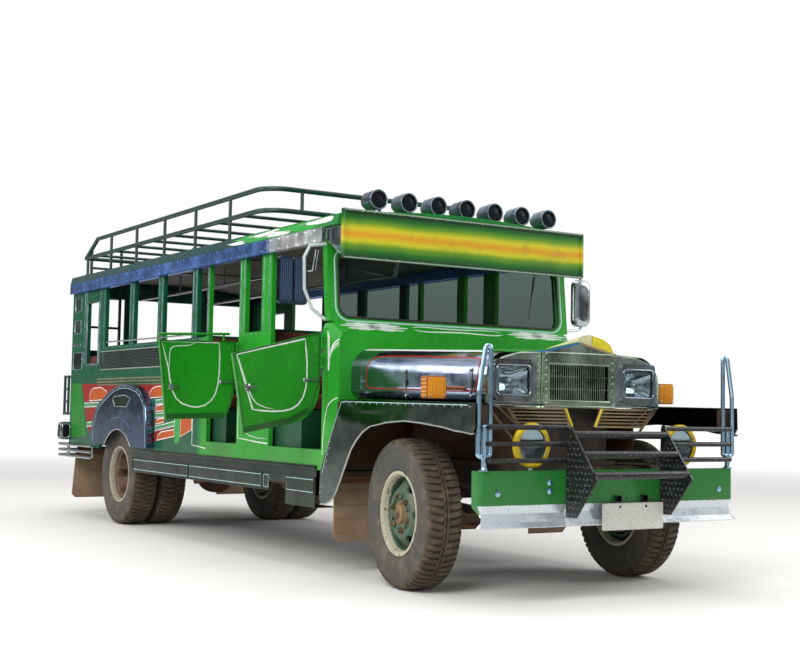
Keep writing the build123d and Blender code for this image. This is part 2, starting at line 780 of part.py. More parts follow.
# Slatted panels below the grille, cut back to a V in the middle, hung from a flange; two stays beside each
slot_count = 5
slot_height = 9
slat_low = 885
slat_front = 506
slat_back = 486
slat_edges = [
    # y at the top, y at the bottom
    (128, 82),
    (510, 430),
]
slat_margin = 14
brace_radius = 7
braces = [
    # upper y, z, lower y, z
    (530, 995, 384, 884),
    (592, 994, 416, 812),
]


def slat_y(edge, z):
    """Position of a slanted end of the panel at one height."""
    share = (panel_low - z) / (panel_low - slat_low)
    return edge[0] + (edge[1] - edge[0]) * share


def slat_band(z0, z1, margin, x0, x1):
    """Part of the panel between two heights, held in from its slanted ends."""
    inner, outer = slat_edges
    outline = [
        (slat_y(inner, z0) + margin, z0), (slat_y(outer, z0) - margin, z0),
        (slat_y(outer, z1) - margin, z1), (slat_y(inner, z1) + margin, z1),
    ]
    return cross_plate(outline, x0, x1)


slats = slat_band(slat_low, panel_low, 0, slat_back, slat_front)
pitch = (panel_low - slat_low) / (slot_count + 0.5)
for row in range(slot_count):
    z = slat_low + (row + 0.5) * pitch
    slats -= slat_band(z, z + slot_height, slat_margin, slat_back - 1, slat_front + 1)
slats += block(panel_back, slat_front, slat_edges[0][0], slat_edges[1][0], panel_low - 4, grille_low)
for y0, z0, y1, z1 in braces:
    slats += bar((front_face - 8, y0, z0), (front_face - 8, y1, z1), brace_radius)
front_panel = face_panel + slats
nodes["front_panels"] = both(front_panel)

# Front fenders: flat-sided sheet with a high arch and a raised brow along it, a top deck and an apron
fender_nose = 759
brow = 5
deck_rear = (-563, 1017)
deck_front = (fender_nose, 1002)
deck_end = (724, 1002.4)
arch_runs = [
    (735, 850), (593, 862, 445, 882), (120, 905, -231, 869), (-375, 795, -479, 676), (-562, 547),
    (-632, 455, -739, 410),
]
fender_side = curved_face(
    deck_front, (fender_nose + 3, 890), *arch_runs, (-779, 409), (-809, 432), (-801, 598),
    (-702, 781), deck_rear,
)
brow_side = curved_face(
    (fender_nose + 3, 890), *arch_runs, (-765, 562), (-637, 783), (-516, 964), (20, 950, 493, 940),
    (650, 932, fender_nose + 3, 890),
)
fender = side_solid(fender_side, fender_half - sheet, fender_half)
fender += side_solid(brow_side, fender_half - sheet, fender_half + brow)
fender += side_plate([deck_rear, deck_end, (deck_end[0], deck_end[1] - sheet), (deck_rear[0], deck_rear[1] - sheet)],
                     fender_inner, fender_half - 1)
fender += block(deck_end[0] - sheet, deck_end[0], 780, fender_half - 1, 890, 1000)
apron = block(-555, 440, fender_inner, fender_inner + sheet, 700, 1004)
fender += apron - side_plate([(-900, 411), (-667, 839), (-374, 1003), (-374, 1400), (-900, 1400)], 0, 900)
fender = fender - nodes["cowl"] - hood_side - front_panel
nodes["front_fenders"] = both(fender)

# Square turn lamps, each on an arm from the hood side
turn_x = 255
turn_z = 1081
turn_arm_y = 621
turn_lamp = rounded_block(748, 868, 1022, 1141, 14, turn_x - 30, turn_x + 30)
turn_lamp += bar((turn_x, turn_arm_y, turn_z), (turn_x, 750, turn_z), 10)
turn_lamp -= hood_side

# Front bumper: one pressed section bent round both ends, with a curved lower lip and a top plate
bumper_bend = 26
bumper_section = [
    # outward of the face, height, the same for the inner face
    (0, bumper_top, -bumper_sheet, bumper_top),
    (0, 500, -bumper_sheet, 501),
    (-14, 455, -14 - bumper_sheet, 455),
    (-2, 415, -2 - bumper_sheet, 413),
    (25, 391, 21, 386),
]
plate_holes = [(82, 520), (232, 520)]
plate_hole_radius = 4.5
plan = FilletPolyline(
    (bumper_rear_edge, bumper_half), (bumper_front, bumper_half), (bumper_front, -bumper_half),
    (bumper_rear_edge, -bumper_half), radius=bumper_bend,
)
outer_line = [(out, z) for out, z, inner, inner_z in bumper_section]
inner_line = [(inner, inner_z) for out, z, inner, inner_z in reversed(bumper_section)]
end_plane = Plane(origin=(bumper_rear_edge, bumper_half, 0), x_dir=(0, 1, 0), z_dir=(1, 0, 0))
bumper = sweep(end_plane * make_face(Polyline(outer_line + inner_line, close=True)), plan)
end_cut = [(600, 300), (600, 483), (bumper_rear_edge, 483), (748, 440), (bumper_front, 385), (bumper_front, 300)]
bumper -= both(side_plate(end_cut, bumper_half - 28, bumper_half + 40))
top_plate = block(bumper_rear_edge, bumper_front, -bumper_half, bumper_half, bumper_top - bumper_sheet, bumper_top)
bumper += fillet(top_plate.edges().filter_by(Axis.Z).group_by(Axis.X)[-1], bumper_bend)
for y, z in plate_holes:
    bumper -= bar((bumper_front - 20, y, z), (bumper_front + 20, y, z), plate_hole_radius)
nodes["front_bumper"] = bumper

# Bumper posts: a stout tube with a tall rod loop; bull bar: side tubes, and centre tubes stepped
# along two wedge plates
post_y = 832
post_x = 748
post_tube = 14
post_tube_top = 890
loop_rod = 12
loop_bend = 14
loop_points = [(post_y, 738), (869, 738), (867, 1060), (829, 1283), (797, 1283), (797, 740), (post_y - 1, 740)]
wedge_y = 321
wedge_half = 5
wedge_outline = [(bumper_front, 430), (838, 432), (1000, 628), (795, 892), (766, 892), (bumper_front, bumper_top)]
side_tubes = [719, 802, 885]
side_tube_x = 776
side_tube_radius = 13
centre_tube_radius = 20
centre_tubes = [
    # x, z
    (806, 850), (884, 750), (964, 650),
]
post = bent_tube([(post_x, y, z) for y, z in loop_points], loop_bend, loop_rod)
post += bar((post_x, post_y, bumper_top), (post_x, post_y, post_tube_top), post_tube)
nodes["bumper_posts"] = both(post)
bull_parts = [
    side_plate(wedge_outline, side * wedge_y - wedge_half, side * wedge_y + wedge_half) for side in (-1, 1)
]
for side in (-1, 1):
    for z in side_tubes:
        tube_end = side * (post_y - 6)
        bull_parts.append(bar((side_tube_x, side * wedge_y, z), (side_tube_x, tube_end, z), side_tube_radius))
        y0, y1 = sorted((side * 796, tube_end))
        bull_parts.append(block(post_x, side_tube_x, y0, y1, z - 9, z + 9))
for x, z in centre_tubes:
    bull_parts.append(bar((x, -wedge_y, z), (x, wedge_y, z), centre_tube_radius))
nodes["bull_bar"] = join(bull_parts) - nodes["front_bumper"] - nodes["bumper_posts"]

# Sign board across the front of the roof, with a triangular wing at each end
sign_low = 1837
sign_top = 2128
sign_front = -581
sign_half = 898
sign = block(roof_front, sign_front, -sign_half, sign_half, sign_low, sign_top)
sign -= block(sign_front - 8, sign_front + 1, -sign_half + 20, sign_half - 20, sign_low + 18, sign_top - 18)
wing_outline = [(roof_front, sign_low + 20), (roof_front, 2030), (-785, 2030), (-785, 1960)]
for side in (-1, 1):
    y0, y1 = sorted((side * (sign_half), side * (sign_half - 5)))
    sign += side_plate(wing_outline, y0, y1)
nodes["sign_board"] = sign - nodes["roof"] - nodes["windscreen_frame"] - nodes["gutter_strips"]

# Seven tubular lamps along the front edge of the roof
roof_lamp_z = 2207
roof_lamp_radius = 58
roof_lamp_pitch = 213
roof_lamps = []
for index in range(-3, 4):
    y = index * roof_lamp_pitch
    lamp = turned_x([(0, roof_lamp_radius), (-110, roof_lamp_radius), (-150, 38), (-156, 0), (-20, 0),
                     (-20, roof_lamp_radius - 6), (0, roof_lamp_radius - 6)], -622, y, roof_lamp_z)
    lamp += bar((-690, y, roof_lamp_z - roof_lamp_radius + 6), (-690, y, roof_z(y) - 10), 14)
    roof_lamps.append(lamp - nodes["roof"])
nodes["roof_lamps"] = group(roof_lamps)

# Roof rack: lower and upper rails on stanchions, with a bowed front end and cross slats
rack_half = 860
rack_low = 2260
rack_high = 2405
rack_rear = -5300
rack_front = -1680
rack_tube = 17
slat_tube = 12
rack_posts = [-5250, -4650, -4050, -3450, -2850, -2250]
rack = []
for z, rear_x in ((rack_low, rack_rear), (rack_high, rack_rear + 300)):
    path = [(rear_x, -rack_half, z), (rack_front, -rack_half, z), (rack_front, rack_half, z), (rear_x, rack_half, z)]
    rack.append(bent_tube(path, 160, rack_tube))
rack.append(bar((rack_rear, -rack_half, rack_low), (rack_rear, rack_half, rack_low), rack_tube))
for side in (-1, 1):
    y = side * rack_half
    rack.append(bar((rack_rear, y, rack_low), (rack_rear + 300, y, rack_high), rack_tube))
    for x in rack_posts:
        rack.append(bar((x, y, rack_low), (x, y, 2085), slat_tube))
        if x > rack_rear + 300:
            rack.append(bar((x, y, rack_low), (x, y, rack_high), slat_tube))
for x in range(-5000, -1750, 420):
    rack.append(bar((x, -rack_half, rack_low), (x, rack_half, rack_low), slat_tube))
for y in (-600, 0, 600):
    rack.append(bar((rack_front, y, rack_low), (rack_front, y, rack_high), slat_tube))
nodes["roof_rack"] = join(rack) - nodes["roof"]

# Rear dome fenders: pressed half domes standing out from the body over the twin wheels
dome_out = 62
dome_wall = 8
dome_arch_x = -4106
dome_arch_half = 394
dome_arch_rise = 364
dome_low = 640


def dome_face(inset):
    rear_x, front_x = -4725 + inset, -3453 - inset
    return curved_face(
        (rear_x, dome_low), (rear_x + 4, 794 - inset), (-4630, 925 - inset, -4465, 1013 - inset),
        (-4225, 1096 - inset, -3954, 1126 - inset), (-3690, 1092 - inset, -3547 - inset, 1014 - inset),
        (-3506 - inset, 965 - inset, -3488 - inset, 905 - inset), (front_x, 673), (front_x, dome_low),
    )


dome = side_solid(dome_face(0), body_half, body_half + dome_out)
dome -= side_solid(dome_face(dome_wall), body_half - 1, body_half + dome_out - dome_wall)
dome_arch = Pos(dome_arch_x, axle_z) * Ellipse(dome_arch_half, dome_arch_rise)
dome -= side_solid(dome_arch, body_half - 1, body_half + dome_out + 1)
nodes["rear_fenders"] = both(dome)

# Side steps: pressed skirts below the doors with a lip and a set-back band, notched for the foot
step_rear = -3885
step_front = -850
step_out = 905
step_in = 640
step_top = 598
step_low = 447
notch = (-1458, -1229, 506)
low_board = 376
band_in = 8
step_section = [
    (step_in, step_top), (body_half, step_top), (body_half, 626), (step_out, 626), (step_out, 600),
    (step_out - band_in, 600), (step_out - band_in, 557), (step_out, 557), (step_out, step_low),
    (step_out - sheet, step_low), (step_out - sheet, 553), (step_out - band_in - sheet, 553),
    (step_out - band_in - sheet, step_top - sheet), (step_in, step_top - sheet),
]


def side_step():
    shell = cross_plate(step_section, step_rear, step_front)
    for x in (step_rear, step_front - sheet):
        shell += block(x, x + sheet, step_in, step_out - band_in, step_low, step_top)
    shell += block(notch[1], step_front, step_out - 150, step_out, low_board, low_board + sheet)
    shell += block(notch[1], step_front, step_out - sheet, step_out, low_board, step_low)
    shell -= block(notch[0], notch[1], step_out - 10, step_out + 1, step_low - 1, notch[2])
    for x in (step_rear + 60, -2760, -1560, step_front - 60):
        shell += block(x - 20, x + 20, rail_y + rail_width / 2, step_in + 6, 560, step_top)
    return shell


nodes["side_steps"] = both(side_step() - nodes["front_fenders"] - nodes["fuel_tank"] - nodes["exhaust"])

# Mud flaps behind the front wheels and behind the rear pair
flap_sheet = 8
flaps = [
    # x, inner y, outer y at the top and at the bottom, low z
    (flap_hangers[0], 560, 862, 862, 190),
    (flap_hangers[1], 470, 882, 910, 150),
]
flap_parts = []
for x, inner, top_out, low_out, low in flaps:
    outline = [(inner, flap_top), (top_out, flap_top), (low_out, low + 30), (low_out - 30, low), (inner, low)]
    flap_parts.append(cross_plate(outline, x, x + flap_sheet))
nodes["mud_flaps"] = both(group(flap_parts) - nodes["side_steps"] - nodes["front_fenders"])

# Rear bumper of bent tubes that run forward along the body, and the step between them
bumper_rear = -5760
rear_return = -4830
return_y = 915
rear_tube = 13
rear_tubes = [512, 560, 610]
tube_low, tube_high = rear_tubes[0], rear_tubes[-1]
rear_parts = []
for z in rear_tubes:
    rear_parts.append(bent_tube([(rear_return, -return_y, z), (bumper_rear, -return_y, z),
                                 (bumper_rear, return_y, z), (rear_return, return_y, z)], 60, rear_tube))
for side in (-1, 1):
    y = side * rail_y
    rear_parts.append(block(bumper_rear, rail_rear, y - 20, y + 20, tube_low, tube_high))
    for x, post in ((bumper_rear, side * 820), (rear_return + 20, side * return_y), (-5440, side * return_y)):
        rear_parts.append(bar((x, post, tube_low), (x, post, tube_high), 9))
rear_parts.append(block(bumper_rear + 5, roof_rear - 30, -entry_half, entry_half, tube_low - 8, tube_low + 8))
nodes["rear_bumper"] = join(rear_parts) - nodes["frame_rails"]

# Grids beside the rear corners
grid_y = 905
grid_parts = []
for x in (-5534, -5640):
    grid_parts.append(bar((x, grid_y, 870), (x, grid_y, 1225), 12))
for z in (884, 992, 1100, 1211):
    grid_parts.append(bar((-5528, grid_y, z), (-5652, grid_y, z), 10))
for z in (884, 1211):
    grid_parts.append(bar((-5534, grid_y, z), (-5500, 880, z), 9))
grids = both(join(grid_parts)) - nodes["rear_wall"]

# Rear ladder to the rack
ladder_x = -5570
ladder = []
for y in (-720, -440):
    ladder.append(bar((ladder_x, y, 760), (ladder_x, y, rack_low + 120), 14))
    for z in (800, 1960):
        ladder.append(bar((ladder_x, y, z), (roof_rear + 10, y, z), 10))
for index in range(6):
    z = 860 + index * 270
    ladder.append(bar((ladder_x, -720, z), (ladder_x, -440, z), 11))
nodes["rear_ladder"] = group([grids, join(ladder) - nodes["rear_wall"] - nodes["roof"]])

# Tail lamps in chrome boxes on the rear corners
tail = rounded_block(820, 983, 653, 808, 30, -5560, -5462)
tail -= block(roof_rear + 10, -5400, 800, body_half, 600, 900)
nodes["signal_lamps"] = group([both(turn_lamp), both(tail)])

# Mirrors: a domed one on the left, two narrow ones side by side on the right, on bent tubes
mirror_tube = 9
left_stay = [(-790, body_half, 1500), (-815, 1080, 1520), (-825, 1080, 1890), (-815, body_half, 1880)]
left_mirror = loft([
    Plane(origin=(-840, 1079, 1699), x_dir=(0, 1, 0), z_dir=(1, 0, 0)) * RectangleRounded(142, 316, 45),
    Plane(origin=(-808, 1079, 1699), x_dir=(0, 1, 0), z_dir=(1, 0, 0)) * RectangleRounded(136, 308, 45),
    Plane(origin=(-790, 1079, 1699), x_dir=(0, 1, 0), z_dir=(1, 0, 0)) * RectangleRounded(84, 240, 40),
])
left_mirror += bent_tube(left_stay, 40, mirror_tube)
right_stay = [
    (-785, body_half, 1488), (-800, 976, 1544), (-800, 1031, 1661), (-800, 1036, 1848), (-800, 1000, 1918),
    (-795, body_half, 1936),
]
right_mirror = bent_tube(right_stay, 30, mirror_tube)
for y0, y1 in ((1008, 1099), (1103, 1194)):
    right_mirror += rounded_block(y0, y1, 1567, 1846, 20, -838, -805)
right_mirror += block(-834, -812, 1095, 1107, 1640, 1770)
frame_pieces = nodes["windscreen_frame"] + nodes["cowl"] + nodes["gutter_strips"]
nodes["mirrors"] = group([left_mirror - frame_pieces, flip(right_mirror) - frame_pieces])

# Seats: long benches along both sides, two cross benches behind the windscreen
bench_rear = -5420
bench_front = -2860
bench_in = 460
bench_top = 1035
pad_thick = 95
base_parts = []
pads = []
bench_board = 18
for side in (-1, 1):
    y_in, y_out = side * bench_in, side * (inner_wall - 1)
    base_parts.append(block(bench_rear, bench_front, y_in, y_out, bench_top - bench_board, bench_top)
                      + block(bench_rear, bench_front, y_in, y_in + side * bench_board, floor_top, bench_top)
                      - block(house_rear - 8, house_front + 8, y_in, y_out, floor_low, house_top))
    pads.append(block(bench_rear + 5, bench_front - 5, y_in + side * 4, y_out - side * 66,
                      bench_top, bench_top + pad_thick))
    pads.append(block(bench_rear + 5, bench_front - 5, y_out - side * 60, y_out, bench_top + 20, 1395))
cross_benches = [
    # rear x of the cushion, front x, half width
    (-1660, -1180, 840),
    (-2720, -2290, 840),
]
seat_top = 950
for rear_x, front_x, half in cross_benches:
    base_parts.append(block(rear_x - 90, front_x + 20, -half, half, floor_top, seat_top)
                      - block(rear_x - 70, front_x, -half + 20, half - 20, floor_top - 1, seat_top - 18))
    base_parts[-1] += block(rear_x - 90, rear_x - 74, -half, half, seat_top, 1480)
    pads.append(block(rear_x + 8, front_x + 12, -half + 8, half - 8, seat_top, seat_top + 110))
    pads.append(block(rear_x - 74, rear_x, -half + 8, half - 8, seat_top + 118, 1470))
nodes["seat_frames"] = group(base_parts)
nodes["seat_pads"] = group(pads)

# Dashboard with the steering column
column_y = 420
wheel_centre = (-1120, column_y, 1285)
column_foot = (-673, column_y, 950)
dash_half = 880
dash_outline = [(body_front, 1150), (-935, 1150), (-985, 1215), (-985, 1330), (-965, 1395), (body_front, 1440)]
dash = side_plate(dash_outline, -dash_half, dash_half)
column_run = Vector(*wheel_centre) - Vector(*column_foot)
column_axis = column_run.normalized()
column_end = Vector(*wheel_centre) - column_axis * 60
nodes["dashboard"] = dash + bar(column_foot, tuple(column_end), 26)
nodes["dashboard"] -= nodes["cowl"]

# Steering wheel: rim on three spokes, its hub sleeve turning on the column's end
steering_radius = 205
wheel_plane = Plane(origin=wheel_centre, x_dir=(0, 1, 0), z_dir=column_axis)
rim_ring = wheel_plane * Torus(steering_radius, 13)
boss = wheel_plane * Pos(0, 0, -8) * Cylinder(36, 60)
steering = rim_ring + boss
for angle in (30, 150, 270):
    spoke = wheel_plane * Rot(0, 0, angle) * Pos(steering_radius / 2 + 10, 0, 0) * Box(steering_radius - 24, 24, 10)
    steering += spoke
nodes["steering_wheel"] = steering


# Doors: sheet panels hung on two outside hinges at their front edges; drawn by the distance back
# from the hinge pin
edge_back = 16
door_inner = body_half + door_gap
border = 26
skin = 6
knuckle_radius = 11
knuckle_half = 18
leaf_end = 60
door_rows = [
    # name, pin x, hinge heights, panel outline
    ("front", body_front + 10, (1240, 1360), curved_face(
        (16, 1411), (602, 1262), (559, 1038, 523, 814), (209, 871), (75, 935, 16, 1120),
    )),
    ("second", -1976, (1215, 1350), curved_face(
        (16, 1400), (573, 1384), (541, 1120, 515, 877), (84, 889), (40, 980, 16, 1150),
    )),
]
door_rail = [(58, 1446), (571, 1423)]
rail_stays = [(100, 1390, 1444), (520, 1380, 1425)]


def door_panel(face):
    """Left door seen from outside, closed, with its pin at x = 0."""
    panel = side_solid(face, door_inner, door_inner + door_thick)
    return panel - side_solid(offset(face, amount=-border), door_inner, door_inner + door_thick - skin)


hinge_pins = []
for name, pin_x, heights, face in door_rows:
    panel = door_panel(mirror(face, about=Plane.YZ))
    rail_y_mid = door_inner + door_thick / 2
    if name == "second":
        rail_ends = [(-back, rail_y_mid, z) for back, z in door_rail]
        panel += bar(*rail_ends, 9)
        for back, low, high in rail_stays:
            panel += bar((-back, rail_y_mid, low), (-back, rail_y_mid, high), 7)
    panel = Pos(pin_x, 0, 0) * panel
    for z in heights:
        panel += bar((pin_x, hinge_y, z - knuckle_half), (pin_x, hinge_y, z + knuckle_half), knuckle_radius)
        panel += block(pin_x - edge_back - leaf_end, pin_x, hinge_y, hinge_y + 6, z - 16, z + 16)
        panel -= bar((pin_x, hinge_y, z - 40), (pin_x, hinge_y, z + 40), hinge_pin + shaft_play)
        pin = bar((pin_x, hinge_y, z - 44), (pin_x, hinge_y, z + 44), hinge_pin)
        for z0 in (z - 44, z + 20):
            pin += bar((pin_x, hinge_y, z0), (pin_x, hinge_y, z0 + 24), knuckle_radius)
            pin += block(pin_x - knuckle_radius, pin_x + knuckle_radius, body_half, hinge_y, z0, z0 + 24)
        hinge_pins.append(pin)
    nodes["door_" + name + "_left"] = panel
    nodes["door_" + name + "_right"] = flip(panel).rotate(Axis((pin_x, -hinge_y, 0), (0, 0, 1)), door_open)
nodes["hinges"] = both(group(hinge_pins))

# Export, shifted so that the origin is under the middle of the whole
extent = Compound([solid for piece in nodes.values() for solid in piece.solids()]).bounding_box()
middle = Pos(-(extent.min.X + extent.max.X) / 2, -(extent.min.Y + extent.max.Y) / 2, 0)
os.makedirs("parts", exist_ok=True)
for name, piece in nodes.items():
    export_step(middle * piece, "parts/" + name + ".step")
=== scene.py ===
import bmesh
import bpy
from math import cos, pi, radians, sin
from mathutils import Matrix, Vector


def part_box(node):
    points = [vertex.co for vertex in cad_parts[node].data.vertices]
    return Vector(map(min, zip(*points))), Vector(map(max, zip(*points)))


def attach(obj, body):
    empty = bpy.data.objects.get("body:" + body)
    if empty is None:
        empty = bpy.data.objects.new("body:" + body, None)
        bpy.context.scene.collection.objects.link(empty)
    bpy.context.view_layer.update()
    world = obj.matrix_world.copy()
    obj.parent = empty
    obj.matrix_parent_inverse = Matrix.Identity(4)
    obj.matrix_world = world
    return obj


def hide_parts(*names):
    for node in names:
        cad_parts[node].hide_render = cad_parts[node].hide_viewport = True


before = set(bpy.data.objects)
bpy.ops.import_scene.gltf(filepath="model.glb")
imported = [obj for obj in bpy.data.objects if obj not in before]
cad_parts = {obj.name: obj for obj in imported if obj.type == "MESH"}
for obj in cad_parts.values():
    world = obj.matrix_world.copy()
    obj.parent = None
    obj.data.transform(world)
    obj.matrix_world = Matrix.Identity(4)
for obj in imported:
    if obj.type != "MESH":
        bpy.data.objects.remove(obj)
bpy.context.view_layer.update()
scene = bpy.context.scene

# Camera: stands low off the right front corner, a little under the height of the hood, looking
# slightly upwards along the side. Points are given in millimetres from under the front axle's middle.
axle_low, axle_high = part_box("front_axle")
axle_x = (axle_low.x + axle_high.x) / 2
axle_y = (axle_low.y + axle_high.y) / 2


def at(point):
    """A point of the vehicle, from millimetres to the frame's metres."""
    x, y, z = point
    return Vector((axle_x + x / 1000, axle_y + y / 1000, z / 1000))


camera_place = (5957.0, -4573.9, 952.2)
camera_heading = radians(148.0815)
camera_pitch = radians(3.6707)
camera_roll = radians(1.0011)
camera_lens = 58.59
camera_film = 36
seen_from, seen_to = 0.05, 800
sight = Vector((
    cos(camera_heading) * cos(camera_pitch),
    sin(camera_heading) * cos(camera_pitch),
    sin(camera_pitch),
))
right = Vector((sin(camera_heading), -cos(camera_heading), 0))
up = right.cross(sight)
rolled_right = right * cos(camera_roll) + up * sin(camera_roll)
rolled_up = up * cos(camera_roll) - right * sin(camera_roll)
camera = bpy.data.objects.new("camera", bpy.data.cameras.new("camera"))
scene.collection.objects.link(camera)
camera_turn = Matrix((rolled_right, rolled_up, -sight)).transposed().to_4x4()
camera.matrix_world = Matrix.Translation(at(camera_place)) @ camera_turn
camera.data.lens = camera_lens
camera.data.sensor_width = camera_film
camera.data.clip_start = seen_from
camera.data.clip_end = seen_to
scene.camera = camera
scene.view_settings.view_transform = "Standard"

# Studio: a pale floor that keeps the vehicle's shadow, a white surround and four large soft lamps.
floor_half = 150
fade_from, fade_to = 6.0, 20.0
floor_colour = (0.78, 0.77, 0.75, 1)
surround_light = 0.55
horizon_light, overhead_light, overhead_from = 0.12, 0.95, 0.75
dim_field, bright_field = 0.35, 1.9
lamps = [
    # name, place in metres, aim, size, power
    ("key_lamp", (8.0, -9.0, 8.0), (2.0, 0.0, 1.0), 7.0, 1150),
    ("side_lamp", (-3.5, -11.0, 5.0), (-1.0, 0.0, 1.0), 6.0, 480),
    ("far_lamp", (6.0, 9.0, 6.0), (1.0, 0.0, 1.0), 6.0, 420),
    ("top_lamp", (-1.0, 0.0, 10.0), (-1.0, 0.0, 0.0), 8.0, 520),
]


def add_node(tree, kind, inputs=None, **settings):
    """One shader node with its settings, its fixed values and the outputs that feed it."""
    node = tree.nodes.new("ShaderNode" + kind)
    for name, value in settings.items():
        setattr(node, name, value)
    for name, value in (inputs or {}).items():
        if isinstance(value, bpy.types.NodeSocket):
            tree.links.new(value, node.inputs[name])
        else:
            node.inputs[name].default_value = value
    return node


def compute(tree, operation, *values):
    """The result of one sum on values, fixed or worked out by nodes."""
    return add_node(tree, "Math", dict(enumerate(values)), operation=operation).outputs[0]


def step_between(tree, value, low, high, from_value=0.0, to_value=1.0):
    """A value carried from one range to another and held at its ends."""
    inputs = {"Value": value, "From Min": low, "From Max": high, "To Min": from_value, "To Max": to_value}
    return add_node(tree, "MapRange", inputs).outputs[0]


def begin_finish(name, colour, metallic=0.0, roughness=0.5, **sockets):
    """A new finish: its material, its node tree and its shader."""
    made = bpy.data.materials.new(name)
    made.use_nodes = True
    shader = made.node_tree.nodes["Principled BSDF"]
    shader.inputs["Base Color"].default_value = (*colour, 1)
    shader.inputs["Metallic"].default_value = metallic
    shader.inputs["Roughness"].default_value = roughness
    for socket, value in sockets.items():
        shader.inputs[socket.replace("_", " ")].default_value = value
    return made, made.node_tree, shader


world = bpy.data.worlds.new("studio")
scene.world = world
world.use_nodes = True
tree = world.node_tree
path = add_node(tree, "LightPath").outputs
seen = compute(tree, "MAXIMUM", path["Is Camera Ray"], path["Is Transmission Ray"])
seen = compute(tree, "MAXIMUM", seen, path["Is Glossy Ray"])
strength = step_between(tree, seen, 0.0, 1.0, surround_light, 1.0)
# What polished sheet mirrors: dark at the horizon, light overhead, broken up by soft fields.
away = add_node(tree, "TexCoord").outputs["Generated"]
height = add_node(tree, "SeparateXYZ", {0: away}).outputs["Z"]
mirrored = step_between(tree, height, 0.0, overhead_from, horizon_light, overhead_light)
fields = add_node(tree, "TexNoise", {"Vector": away, "Scale": 3.2, "Detail": 2.0}).outputs["Fac"]
fields = step_between(tree, fields, 0.42, 0.6, dim_field, bright_field)
mirrored = compute(tree, "MULTIPLY", mirrored, fields)
mirrored = add_node(tree, "Mix", {0: path["Is Glossy Ray"], 2: 1.0, 3: mirrored}).outputs[0]
strength = compute(tree, "MULTIPLY", strength, mirrored)
tree.links.new(strength, tree.nodes["Background"].inputs["Strength"])
tree.nodes["Background"].inputs["Color"].default_value = (1, 1, 1, 1)

floor_mesh = bpy.data.meshes.new("studio_floor")
corners = [(x * floor_half, y * floor_half, 0) for x, y in ((-1, -1), (1, -1), (1, 1), (-1, 1))]
floor_mesh.from_pydata(corners, [], [(0, 1, 2, 3)])
pale_floor, tree, shader = begin_finish("pale_floor", floor_colour[:3], roughness=0.9)
# Far from the vehicle the floor fades into the white surround, for the camera alone.
away = add_node(tree, "TexCoord").outputs["Object"]
away = add_node(tree, "VectorMath", {0: away}, operation="LENGTH").outputs["Value"]
fade = add_node(tree, "MapRange", {"Value": away, "From Min": fade_from, "From Max": fade_to},
                interpolation_type="SMOOTHSTEP").outputs[0]
fade = compute(tree, "MULTIPLY", fade, add_node(tree, "LightPath").outputs["Is Camera Ray"])
shade = add_node(tree, "MixRGB", {"Fac": fade, "Color1": floor_colour, "Color2": (0, 0, 0, 1)}).outputs[0]
tree.links.new(shade, shader.inputs["Base Color"])
tree.links.new(fade, shader.inputs["Emission Strength"])
shader.inputs["Emission Color"].default_value = (1, 1, 1, 1)
floor_mesh.materials.append(pale_floor)
floor = bpy.data.objects.new("studio_floor", floor_mesh)
scene.collection.objects.link(floor)
for name, place, aim, size, power in lamps:
    lamp = bpy.data.objects.new(name, bpy.data.lights.new(name, "AREA"))
    lamp.data.shape = "DISK"
    lamp.data.size = size
    lamp.data.energy = power
    lamp.location = place
    lamp.rotation_euler = (Vector(aim) - Vector(place)).to_track_quat("-Z", "Y").to_euler()
    scene.collection.objects.link(lamp)


# Chassis and running gear: riveted channel rails, leaf springs and a dropped front axle, once black,
# now under road dust and rust, with an oily engine and gearbox.
def object_place(tree, stretch=(1, 1, 1)):
    """The surface point in the vehicle's own metres, stretched where a grain runs one way."""
    coordinates = add_node(tree, "TexCoord").outputs["Object"]
    return add_node(tree, "Mapping", {"Vector": coordinates, "Scale": stretch}).outputs[0]


def object_axis(tree, axis):
    """The surface point's own metres along one axis."""
    return add_node(tree, "SeparateXYZ", {0: object_place(tree)}).outputs[axis]


def cloud(tree, scale, detail=4.0, stretch=(1, 1, 1)):
    """Even noise from 0 to 1."""
    inputs = {"Vector": object_place(tree, stretch), "Scale": scale, "Detail": detail, "Roughness": 0.55}
    return add_node(tree, "TexNoise", inputs).outputs["Fac"]


def blend_colour(tree, share, first, second):
    """Two colours mixed by a share; either may be fixed."""
    first = first if isinstance(first, bpy.types.NodeSocket) else (*first, 1)
    second = second if isinstance(second, bpy.types.NodeSocket) else (*second, 1)
    return add_node(tree, "MixRGB", {"Fac": share, "Color1": first, "Color2": second}).outputs[0]


def multiply(tree, first, second):
    return compute(tree, "MULTIPLY", first, second)


def vary_roughness(tree, shader, mottle, low, high, smooth, rough):
    """Roughness that follows a mottle from smooth to rough."""
    tree.links.new(step_between(tree, mottle, low, high, smooth, rough), shader.inputs["Roughness"])


def raise_surface(tree, shader, height, distance, strength=0.5):
    """Fine relief on the shader from a height."""
    bump = add_node(tree, "Bump", {"Height": height, "Distance": distance, "Strength": strength})
    tree.links.new(bump.outputs[0], shader.inputs["Normal"])


def dust_share(tree, low_z, high_z, most):
    """Road dust: heaviest low down, broken up by noise, gone at the upper height."""
    height = step_between(tree, object_axis(tree, "Z"), low_z, high_z, most, 0.0)
    return multiply(tree, height, step_between(tree, cloud(tree, 5.0, 6.0), 0.2, 0.75))


dust_colour = (0.26, 0.18, 0.115)


